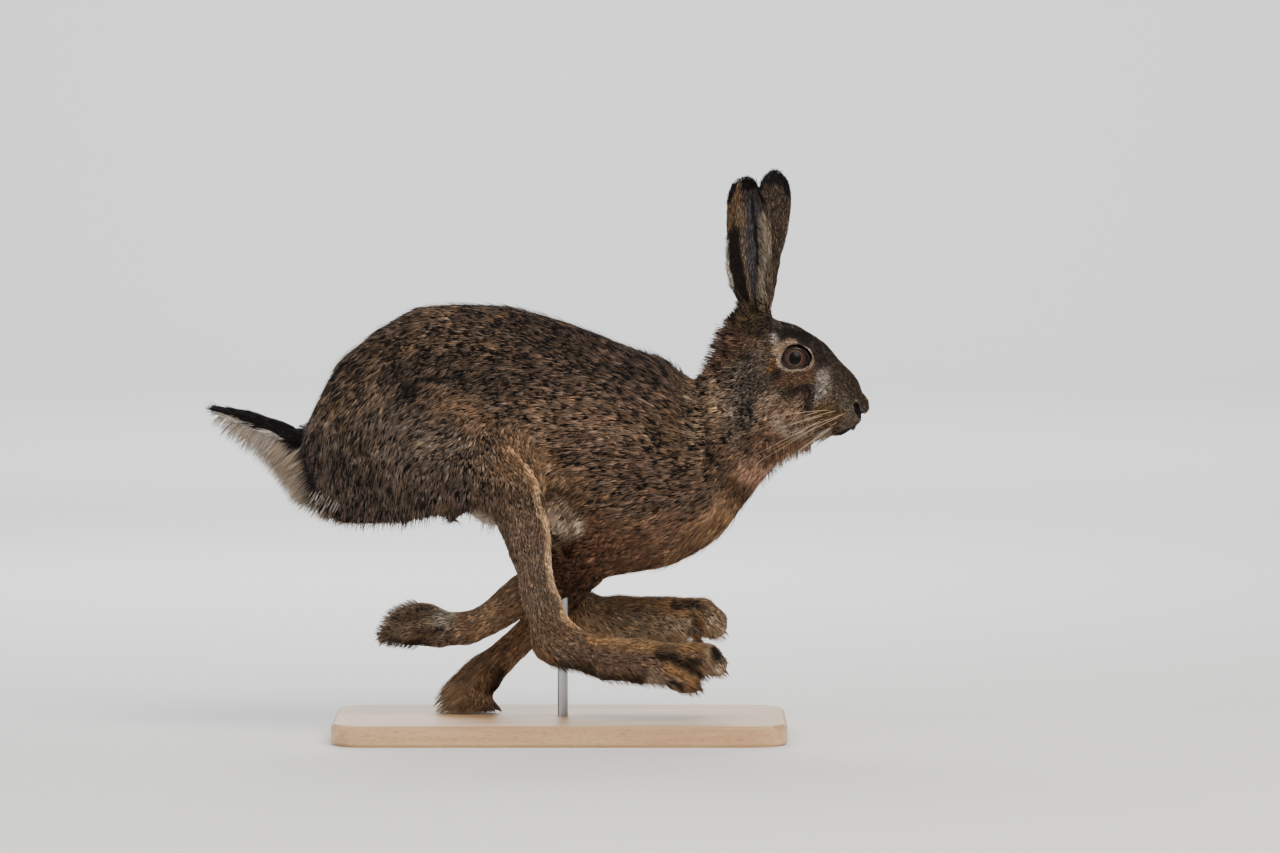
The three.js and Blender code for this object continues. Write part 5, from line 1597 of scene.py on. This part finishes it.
# %% Locks of the feet, paws and tail
lay_locks("locks_feet_top", FEET,
          lambda p, n: (n[:, 2] > 0.25) & (p[:, 0] > 30) & (p[:, 0] < 112),
          0.2, None, (6, 10), 0.45, 30, None, 0, drop=4, pull=0.5)
lay_locks("locks_feet_under", FEET,
          lambda p, n: (n[:, 2] < -0.25) & (p[:, 0] > -16) & (p[:, 0] < 122),
          0.28, (0.7, 0, -0.7), (6, 10), 0.5, 8, None, 0, pull=0.7)
lay_locks("locks_paw_right", ["foreleg_right_paw"],
          lambda p, n: (p[:, 0] < -106),
          0.6, (-0.9, 0, -0.1), (5, 8.5), 0.5, 24, None, 0, drop=4, pull=0.6, fan=0.7)
lay_locks("locks_paw_left", ["foreleg_left_paw", "foreleg_left_forearm"],
          lambda p, n: (p[:, 2] < 50) & (p[:, 2] > 4) & (n[:, 0] < 0.0),
          0.45, (-0.7, 0, -0.65), (9, 15), 0.5, 14, None, 0, drop=4, pull=0.7)
lay_locks("locks_tail_top", ["tail"], lambda p, n: n[:, 2] > 0.1, 0.8, (-0.9, 0, 0.3), (7, 11), 0.5, 22,
          "#2a2626", 0.85, drop=2, pull=0.6)

# %% [markdown]
# The white fringe hangs from the underside of the tail and from the rump beside it. Its locks differ
# in length from place to place, so each row below is where a lock starts and where it ends, in the
# side view. Locks between two rows are between them in length. The middle ones are more golden.

# %% Fringe under the tail
TAIL_WHITE = "#a89c8f"
TAIL_GOLD = "#a98a60"
FRINGE = [
    (-264, 230, -275, 230), (-252, 227, -266, 215), (-240, 222, -256, 207), (-228, 216, -244, 198),
    (-216, 210, -233, 190), (-206, 203, -226, 183), (-196, 196, -219, 176), (-191, 188, -213, 168),
    (-187, 181, -207, 160), (-184, 174, -201, 154), (-179, 167, -190, 149), (-171, 161, -178, 146),
]


def along_line(points, line):
    """Distance from a bent line in the side view, and how far along it, in corners, each point lies."""
    p = points[:, [0, 2]]
    best = np.full(len(p), 1e9)
    place = np.zeros(len(p))
    for i, (a, b) in enumerate(zip(line, line[1:])):
        step = b - a
        t = np.clip((p - a) @ step / (step @ step), 0, 1)
        gap = np.linalg.norm(p - a - t[:, None] * step, axis=1)
        nearer = gap < best
        best = np.where(nearer, gap, best)
        place = np.where(nearer, i + t, place)
    return best, place


def tail_fringe(name, density):
    pairs = np.array(FRINGE, float)
    roots_line, tips_line = pairs[:, :2], pairs[:, 2:]

    def near_roots(p, n):
        wide = np.where(p[:, 0] < -200, 14, 31) + 4 * ripple(p, 9)
        reach = np.where(np.abs(p[:, 1]) < 20, 15, 8)
        top = np.where(p[:, 0] < -192, 0.1, 0.35)
        near = (along_line(p, roots_line)[0] < reach) & (np.abs(p[:, 1]) < wide)
        return near & (n[:, 2] < top) & (n[:, 0] < 0.2)

    rump = lock_faces(["tail", "torso"] + THIGHS, lambda p, n: (p[:, 0] < -150) & (p[:, 2] > 140))
    sown = sow(rump, density)
    near = near_roots(*sown[:2])
    sown = tuple(values[near] for values in sown)
    root, normal = sown[:2]
    count = len(root)
    place = np.clip(along_line(root, roots_line)[1] + chance.normal(0, 0.35, count), 0, len(pairs) - 1)
    steps = range(len(pairs))
    tip = np.stack([np.interp(place, steps, tips_line[:, 0]), root[:, 1] * 0.9 + chance.normal(0, 3, count),
                    np.interp(place, steps, tips_line[:, 1])], 1)
    aim = tip - root
    long = np.linalg.norm(aim, axis=1) * chance.uniform(0.5, 1.04, count)
    middle = 1 - np.abs(place / len(pairs) * 2 - 1)
    golden = (0.75 * middle * chance.random(count))[:, None]
    colour = linear(TAIL_WHITE) + golden * (linear(TAIL_GOLD) - linear(TAIL_WHITE))
    up = on_surface(np.tile([0.0, 0.0, 1.0], (count, 1)) + normal * 0.3, unit(aim))
    ticked = np.full(count, 0.12)
    sown = (root, up, *sown[2:])
    coat[name] = plant(name, sown, unit(aim), long, 0.75, 6, 3.0, 0.45, colour, ticked, rings=3, drop=5)
    print(name, count, "locks")


tail_fringe("locks_tail", 1.15)

# %% [markdown]
# Ears have fine pale wisps: along the rear edge near the head, and on the front edge of the hollow.

# %% Wisps on the ears
def hollow_side(p, n):
    return n @ np.array([-0.3, 0, 0]) + n[:, 1] * np.sign(p[:, 1]) > 0


def rear_edge(p, n):
    along, across = ear_place(p)
    return (along < 0.55) & (across < -0.92 - 0.16 * (1 - along / 0.55)) & (n[:, 0] < -0.5)


def front_edge(p, n):
    along, across = ear_place(p)
    rim = (across > 0.2 + 0.35 * along) & (across < 0.5 + 0.4 * along)
    return (along > 0.08) & (along < 0.72) & rim & hollow_side(p, n)


lay_locks("locks_ear_rear", EARS_BOTH, rear_edge, 0.6, (-0.35, 0, 0.95), (3.5, 6.5), 0.3, 20, "#978b7e", 0.06)
lay_locks("locks_ear_front", EARS_BOTH, front_edge, 0.5, (-0.35, 0, 0.9), (4, 7), 0.35, 24, "#a69680", 0.08)

# %% [markdown]
# ## The eyes
# A museum hare has eyes of glass: a dark pupil and a brown iris behind a clear, polished dome. Here
# each is a ball with rings from pole to rim, and a number on each point says how far it lies from the
# pole, which the material turns into pupil, iris and dark outer ring. The lids hide its back, so the
# ball is cut off behind. The polish is kept low, or the lamps would wash out the dark iris.

# %% Painted glass
GLASS_IOR = 1.5
IRIS_STREAK = 1.43
PUPIL = 0.335


def glass_eye():
    material = new_material("painted_glass_eye")
    angle = node(material, "ShaderNodeAttribute", {"attribute_name": "angle"})
    ramp = node(material, "ShaderNodeValToRGB", Fac=angle.outputs["Fac"])
    stops = ramp.color_ramp.elements
    stops[0].position = 0.0
    stops[0].color = rgba("#050404")
    stops[1].position = 1.0
    stops[1].color = rgba("#0a0706")
    for position, code in (
        (PUPIL, "#050404"), (0.355, "#3f2e28"), (0.38, "#5a443c"), (0.41, "#40281c"), (0.54, "#3c261b"),
        (0.62, "#2a1a13"), (0.70, "#150d0b"), (0.9, "#0b0706"),
    ):
        stops.new(position).color = rgba(code)
    place = node(material, "ShaderNodeTexCoord").outputs["Object"]
    streaks = node(material, "ShaderNodeTexNoise", Vector=place, Scale=scale_of(IRIS_STREAK), Detail=3.0)
    shade = node(material, "ShaderNodeMapRange", Value=streaks.outputs["Fac"], From_Min=0.3, From_Max=0.7,
                 To_Min=0.7, To_Max=1.15)
    mixed = node(material, "ShaderNodeMix", MULTIPLY, Factor=1.0, A=ramp.outputs["Color"], B=shade.outputs[0])
    finish_surface(material, Base_Color=mixed.outputs[2], Roughness=0.4, IOR=GLASS_IOR,
                   Specular_IOR_Level=0.1, Coat_Weight=0.06, Coat_Roughness=0.03, Coat_IOR=GLASS_IOR)
    return material


EYE_GLASS = glass_eye()
print("material", EYE_GLASS.name, "with", len(EYE_GLASS.node_tree.nodes), "nodes")

# %% Eyeballs
BALL_RINGS = 28
BALL_SIDES = 56
BALL_END = math.pi * 0.72
IRIS_EDGE = math.radians(64)


def smooth_mesh(bm, name, material):
    """Ends the editing of a mesh: faces turned outwards, its material, smooth shading."""
    bmesh.ops.recalc_face_normals(bm, faces=bm.faces)
    mesh = bpy.data.meshes.new(name)
    bm.to_mesh(mesh)
    bm.free()
    mesh.materials.append(material)
    mesh.shade_smooth()
    return mesh


def eyeball(side):
    centre, out, up, fore = eye_frame(side)
    bm = bmesh.new()
    rows = []
    for ring in range(1, BALL_RINGS):
        polar = BALL_END * ring / BALL_RINGS
        turn = np.linspace(0, math.tau, BALL_SIDES, endpoint=False)
        sideways = np.outer(np.cos(turn), fore) + np.outer(np.sin(turn), up)
        places = centre + EYE["radius"] * (out * math.cos(polar) + sideways * math.sin(polar))
        rows.append([bm.verts.new(to_metres(p)) for p in places])
    pole = bm.verts.new(to_metres(centre + out * EYE["radius"]))
    for i in range(BALL_SIDES):
        j = (i + 1) % BALL_SIDES
        bm.faces.new((pole, rows[0][i], rows[0][j]))
        for low, high in zip(rows, rows[1:]):
            bm.faces.new((low[i], high[i], high[j], low[j]))
    bm.faces.new(rows[-1])
    mesh = smooth_mesh(bm, "eyeball", EYE_GLASS)
    points = to_hare(read(mesh.vertices, "co"))
    v = unit(points - centre)
    flat = np.hypot(v @ fore + 0.03, v @ up * 0.92)
    angle = np.where(v @ out > 0, np.arcsin(np.minimum(flat, 1)), math.pi / 2) / IRIS_EDGE
    give(mesh, "angle", "FLOAT", np.clip(angle, 0, 1))
    return mesh


eyes = {}
for word, side in SIDES.items():
    eyes[word] = piece_of("eyeball_" + word, eyeball(side))
print("eyes", list(eyes))

# %% [markdown]
# A dark, wet rim of bare skin runs round each opening, between the lids' fur and the glass.

# %% Wet rims of the lids
def wet_rim():
    material = new_material("moist_bare_skin")
    finish_surface(material, Base_Color=rgba("#1e1310"), Roughness=0.28, IOR=1.4, Specular_IOR_Level=0.5)
    return material


RIM_SKIN = wet_rim()
RIM_POINTS = 96
RIM_SIDES = 8


def lid_rim(side):
    """A closed tube round the opening, thicker above, that lies on the ball."""
    centre, out, up, fore = eye_frame(side)
    turn = np.linspace(0, math.tau, RIM_POINTS, endpoint=False)
    corner = tear_corner(turn)
    flat = np.outer(np.cos(turn) * EYE["long"] * corner, fore)
    flat += np.outer(np.sin(turn) * EYE["high"] * corner, up)
    thick = 0.75 + 0.5 * np.maximum(np.sin(turn), 0)
    ball = EYE["radius"] + 0.25
    depth = np.sqrt(np.maximum(ball**2 - (flat**2).sum(1), 4))
    line = centre + flat + out * depth[:, None]
    ahead = unit(np.roll(line, -1, 0) - np.roll(line, 1, 0))
    away = unit(line - centre)
    bm = bmesh.new()
    rows = []
    angles = np.linspace(0, math.tau, RIM_SIDES, endpoint=False)
    for place, along, normal, wide in zip(line, ahead, away, thick):
        across = np.cross(along, normal)
        ring = [place + wide * math.cos(a) * across + 0.5 * math.sin(a) * normal for a in angles]
        rows.append([bm.verts.new(to_metres(p)) for p in ring])
    join_rings(bm, rows + rows[:1])
    return smooth_mesh(bm, "lid_rim", RIM_SKIN)


rims = {word: piece_of("lid_rim_" + word, lid_rim(side)) for word, side in SIDES.items()}
print("rims", list(rims))

# %% [markdown]
# ## Claws and whiskers
# A hare's claws are dark horn, a little curved and blunt, and the fur of its toes nearly hides them.
# Whiskers are stiff white or dark hairs that stand in rows on the pad of the upper lip. Both are made
# as thin tubes that taper to a point.

# %% Tapered tubes
def taper(bm, path, radii, sides):
    """A tube round a path, with one radius for each of its points."""
    ahead = unit(np.gradient(path, axis=0))
    across = unit(np.cross(ahead, [0.13, 0.21, 1.0]))
    over = np.cross(across, ahead)
    turn = np.linspace(0, math.tau, sides, endpoint=False)
    rings = []
    for place, one, two, radius in zip(path, across, over, radii):
        rings.append(place + radius * (np.outer(np.cos(turn), one) + np.outer(np.sin(turn), two)))
    add_tube(bm, rings)


def tubes_piece(name, tubes, sides, material):
    bm = bmesh.new()
    for path, radii in tubes:
        taper(bm, path, radii, sides)
    return piece_of(name, smooth_mesh(bm, name, material))


print("tubes ready")

# %% Claws of dark horn
HORN_IOR = 1.54
CLAW_OUT = 2.5
CLAW_DROP = 3.4
CLAW_THICK = 1.4


def dark_horn():
    material = new_material("dark_claw_horn")
    place = node(material, "ShaderNodeTexCoord").outputs["Object"]
    grain = node(material, "ShaderNodeTexNoise", Vector=place, Scale=scale_of(WISP), Detail=2.0)
    tone = node(material, "ShaderNodeValToRGB", Fac=grain.outputs["Fac"])
    tone.color_ramp.elements[0].position = 0.3
    tone.color_ramp.elements[0].color = rgba("#1f1714")
    tone.color_ramp.elements[1].position = 0.75
    tone.color_ramp.elements[1].color = rgba("#4a3a30")
    finish_surface(material, Base_Color=tone.outputs["Color"], Roughness=0.35, IOR=HORN_IOR,
                   Specular_IOR_Level=0.5)
    return material


def claw(end, way, radius):
    """A claw that starts inside the toe, curves down and stays above the ground."""
    steps = np.linspace(0, 1, 7)
    path = end + np.outer(radius * 0.3 + steps * (radius * 0.7 + CLAW_OUT), way)
    path[:, 2] -= CLAW_DROP * steps**2
    path[:, 2] = np.maximum(path[:, 2], 1.0)
    return path, CLAW_THICK * (1 - steps**1.8) + 0.2


claws = tubes_piece("claws", [claw(*toe) for toe in TOES], 10, dark_horn())
print(len(TOES), "claws")

# %% Whiskers
PAD = [(216, 231), (210, 233), (204, 233.5), (198, 233), (217, 227), (211, 228.5), (205, 229), (199, 229),
       (216, 223), (210, 224), (204, 224.5), (198, 225), (213, 220), (207, 220), (202, 220.5), (196, 222)]
WHISKER_LONG = (40, 74)
WHISKER_POINTS = 14


def whisker(x, height, side):
    """A whisker from the pad's skin, swept back and down, with its own length and droop."""
    near = (np.sign(skin_points[:, 1]) == side) & (skin_points[:, 0] > 190)
    place = skin_points[near]
    away = (place[:, 0] - x) ** 2 + (place[:, 2] - height) ** 2
    root = place[np.argmin(away - 0.2 * np.abs(place[:, 1]))]
    length = chance.uniform(*WHISKER_LONG) * (1 - 0.015 * max(x - 203, 0))
    out = 0.5 + chance.normal(0, 0.08)
    rise = -0.3 + (height - 227) * 0.03 + chance.normal(0, 0.09)
    way = np.array([-0.75, side * out, rise])
    steps = np.linspace(0, 1, WHISKER_POINTS)[:, None]
    bend = np.array([-0.3, -side * 0.3, -0.16 + chance.normal(0, 0.06)])
    path = root + length * (steps * unit(way) + steps**2 * bend * 0.5)
    return path, np.linspace(0.2, 0.04, WHISKER_POINTS)


def whisker_hair(name, band, along):
    """Whiskers in the coat's own material. Those that count as all tip are black."""
    piece = tubes_piece(name, [whisker(x, h, side) for x, h in band for side in (-1, 1)], 5, HAIR)
    mesh = piece.data
    count = len(mesh.vertices)
    give(mesh, "band", "FLOAT_COLOR", np.tile(linear("#c2ad92"), (count, 1)))
    give(mesh, "along", "FLOAT", np.full(count, along))
    give(mesh, "tick", "FLOAT", np.full(count, float(along > 0.9)))
    return piece


whiskers = [
    whisker_hair("whiskers_white", PAD[1::2] + PAD[0:4:2], 0.6),
    whisker_hair("whiskers_dark", PAD[4::2], 1.0),
]
print("whiskers", [len(piece.data.vertices) for piece in whiskers])

# %% [markdown]
# ## The stand
# The stand is plain workshop joinery: a beech board with a satin lacquer, and a brushed stainless
# steel rod. Their shapes stay as they are in the model, so only their materials are made here. Beech
# has a quiet grain along the board and short dark flecks a few millimetres long, and satin lacquer
# blurs what it reflects. The rod was brushed as it turned, so its fine lines run round it. Each pattern
# is a noise that is stretched to the sizes below, in millimetres along x, y and z.

# %% Beech and steel
BEECH_GRAIN = (167, 11.1, 11.1)
BEECH_FLECK = (3.85, 0.71, 0.71)
BRUSHING = (3.33, 3.33, 0.167)
LACQUER_IOR = 1.5


def lacquered_beech():
    material = new_material("satin_lacquered_beech")
    place = node(material, "ShaderNodeTexCoord").outputs["Object"]
    long = node(material, "ShaderNodeMapping", Vector=place, Scale=[scale_of(size) for size in BEECH_GRAIN])
    grain = node(material, "ShaderNodeTexNoise", Vector=long.outputs[0], Scale=1.0, Detail=4.0,
                 Roughness=0.6).outputs["Fac"]
    small = node(material, "ShaderNodeMapping", Vector=place, Scale=[scale_of(size) for size in BEECH_FLECK])
    fleck = node(material, "ShaderNodeTexNoise", Vector=small.outputs[0], Scale=1.0, Detail=1.0)
    tone = node(material, "ShaderNodeValToRGB", Fac=grain)
    tone.color_ramp.elements[0].position = 0.3
    tone.color_ramp.elements[0].color = rgba("#b98e63")
    tone.color_ramp.elements[1].position = 0.7
    tone.color_ramp.elements[1].color = rgba("#d9b487")
    spots = node(material, "ShaderNodeMapRange", Value=fleck.outputs["Fac"], From_Min=0.58, From_Max=0.7,
                 To_Min=1.0, To_Max=0.72)
    mixed = node(material, "ShaderNodeMix", MULTIPLY, Factor=1.0, A=tone.outputs["Color"], B=spots.outputs[0])
    bump = node(material, "ShaderNodeBump", Height=grain, Strength=0.08, Distance=0.5 * MM)
    finish_surface(material, Base_Color=mixed.outputs[2], Roughness=0.38, IOR=LACQUER_IOR,
                   Normal=bump.outputs[0])
    return material


def brushed_stainless():
    material = new_material("brushed_stainless_steel")
    place = node(material, "ShaderNodeTexCoord").outputs["Object"]
    lines = node(material, "ShaderNodeMapping", Vector=place, Scale=[scale_of(size) for size in BRUSHING])
    brushing = node(material, "ShaderNodeTexNoise", Vector=lines.outputs[0], Scale=1.0,
                    Detail=2.0).outputs["Fac"]
    rough = node(material, "ShaderNodeMapRange", Value=brushing, From_Min=0.3, From_Max=0.7,
                 To_Min=0.28, To_Max=0.42)
    bump = node(material, "ShaderNodeBump", Height=brushing, Strength=0.1, Distance=0.2 * MM)
    finish_surface(material, Base_Color=rgba("#b9bbbd"), Metallic=1.0, Roughness=rough.outputs[0],
                   Normal=bump.outputs[0])
    return material


for name, material in (("stand_base", lacquered_beech()), ("stand_rod", brushed_stainless())):
    nodes[name].material_slots[0].material = material
    print(name, "is", material.name)

# %% [markdown]
# ## Floor, light and camera
# The hare is shown on a plain pale sweep of paper, as in a studio. The camera is a long lens a few
# metres away and only a little above the hare's own height, which is how the pose is seen. The paper
# rises to a low wall beyond the camera's distance, so that the hare can be seen from behind as well.
# Wide lamps keep the shadows soft: a warm key, a cool fill, a rim light behind and one for the wall.

# %% Paper sweep
def pale_paper():
    material = new_material("pale_matt_paper")
    finish_surface(material, Base_Color=rgba("#f0efec"), Roughness=0.9, IOR=1.45)
    return material


PAPER_REACH = 25.0
SWEEP_START = 5.7
SWEEP_RADIUS = 0.9
WALL_TOP = 3.0


def paper_sweep():
    """A floor that curves up into a low wall, from its outline of y and height, in metres."""
    profile = [(-PAPER_REACH, 0.0), (SWEEP_START, 0.0)]
    profile += [(SWEEP_START + SWEEP_RADIUS * math.sin(a), SWEEP_RADIUS * (1 - math.cos(a)))
                for a in np.linspace(0.1, math.pi / 2, 12)]
    profile.append((SWEEP_START + SWEEP_RADIUS, WALL_TOP))
    bm = bmesh.new()
    rows = [[bm.verts.new((x, y, z)) for y, z in profile] for x in (-PAPER_REACH, PAPER_REACH)]
    for i in range(len(profile) - 1):
        bm.faces.new((rows[0][i], rows[1][i], rows[1][i + 1], rows[0][i + 1]))
    mesh = bpy.data.meshes.new("paper_sweep")
    bm.to_mesh(mesh)
    bm.free()
    mesh.materials.append(pale_paper())
    mesh.shade_smooth()
    return mesh


floor = piece_of("paper_sweep", paper_sweep())
print("floor ready")

# %% Soft lights
def soft_light(name, place, target, size, watts, code):
    data = bpy.data.lights.new(name, "AREA")
    data.shape = "SQUARE"
    data.size = size
    data.energy = watts
    data.color = tuple(linear(code))
    lamp = bpy.data.objects.new(name, data)
    bpy.context.scene.collection.objects.link(lamp)
    lamp.location = place
    lamp.rotation_euler = (Vector(target) - Vector(place)).to_track_quat("-Z", "Y").to_euler()
    return lamp


MIDDLE = (0.03, 0.0, 0.2)
soft_light("key", (0.9, -1.6, 2.0), MIDDLE, 1.3, 60, "#fff8ee")
soft_light("fill", (-1.8, -1.4, 0.9), MIDDLE, 1.6, 18, "#eef3ff")
soft_light("rim", (-0.3, 1.7, 1.5), MIDDLE, 1.2, 33, "#ffffff")
soft_light("backdrop", (0.0, 3.4, 3.2), (0.0, 6.0, 0.2), 3.0, 190, "#f1f3f8")
world = bpy.data.worlds.new("soft_room")
world.use_nodes = True
world.node_tree.nodes["Background"].inputs["Color"].default_value = rgba("#e8ebf0")
world.node_tree.nodes["Background"].inputs["Strength"].default_value = 0.65
bpy.context.scene.world = world
print("four soft lights and a pale room")

# %% Camera
LENS = 200
SENSOR = 36
FRAME_WIDTH = 1280
PIXEL = 0.76
TARGET = (60.8 * MM, 0.0, 236.3 * MM)
distance = PIXEL * MM * FRAME_WIDTH * LENS / SENSOR
rise = math.radians(3)
data = bpy.data.cameras.new("camera")
data.lens = LENS
data.sensor_width = SENSOR
data.clip_end = 60
camera = bpy.data.objects.new("camera", data)
bpy.context.scene.collection.objects.link(camera)
camera.location = (TARGET[0], -distance * math.cos(rise), TARGET[2] + distance * math.sin(rise))
camera.rotation_euler = (math.pi / 2 - rise, 0, 0)
bpy.context.scene.camera = camera
print("camera stands", round(distance, 2), "m away")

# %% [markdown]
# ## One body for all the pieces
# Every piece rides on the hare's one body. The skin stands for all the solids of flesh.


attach(skin, "root")
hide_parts(*flesh)
for name, piece in coat.items():
    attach(piece, "root")
for piece in [claws] + whiskers:
    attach(piece, "root")
for word in SIDES:
    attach(eyes[word], "root")
    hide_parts("eye_" + word)
    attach(rims[word], "root")
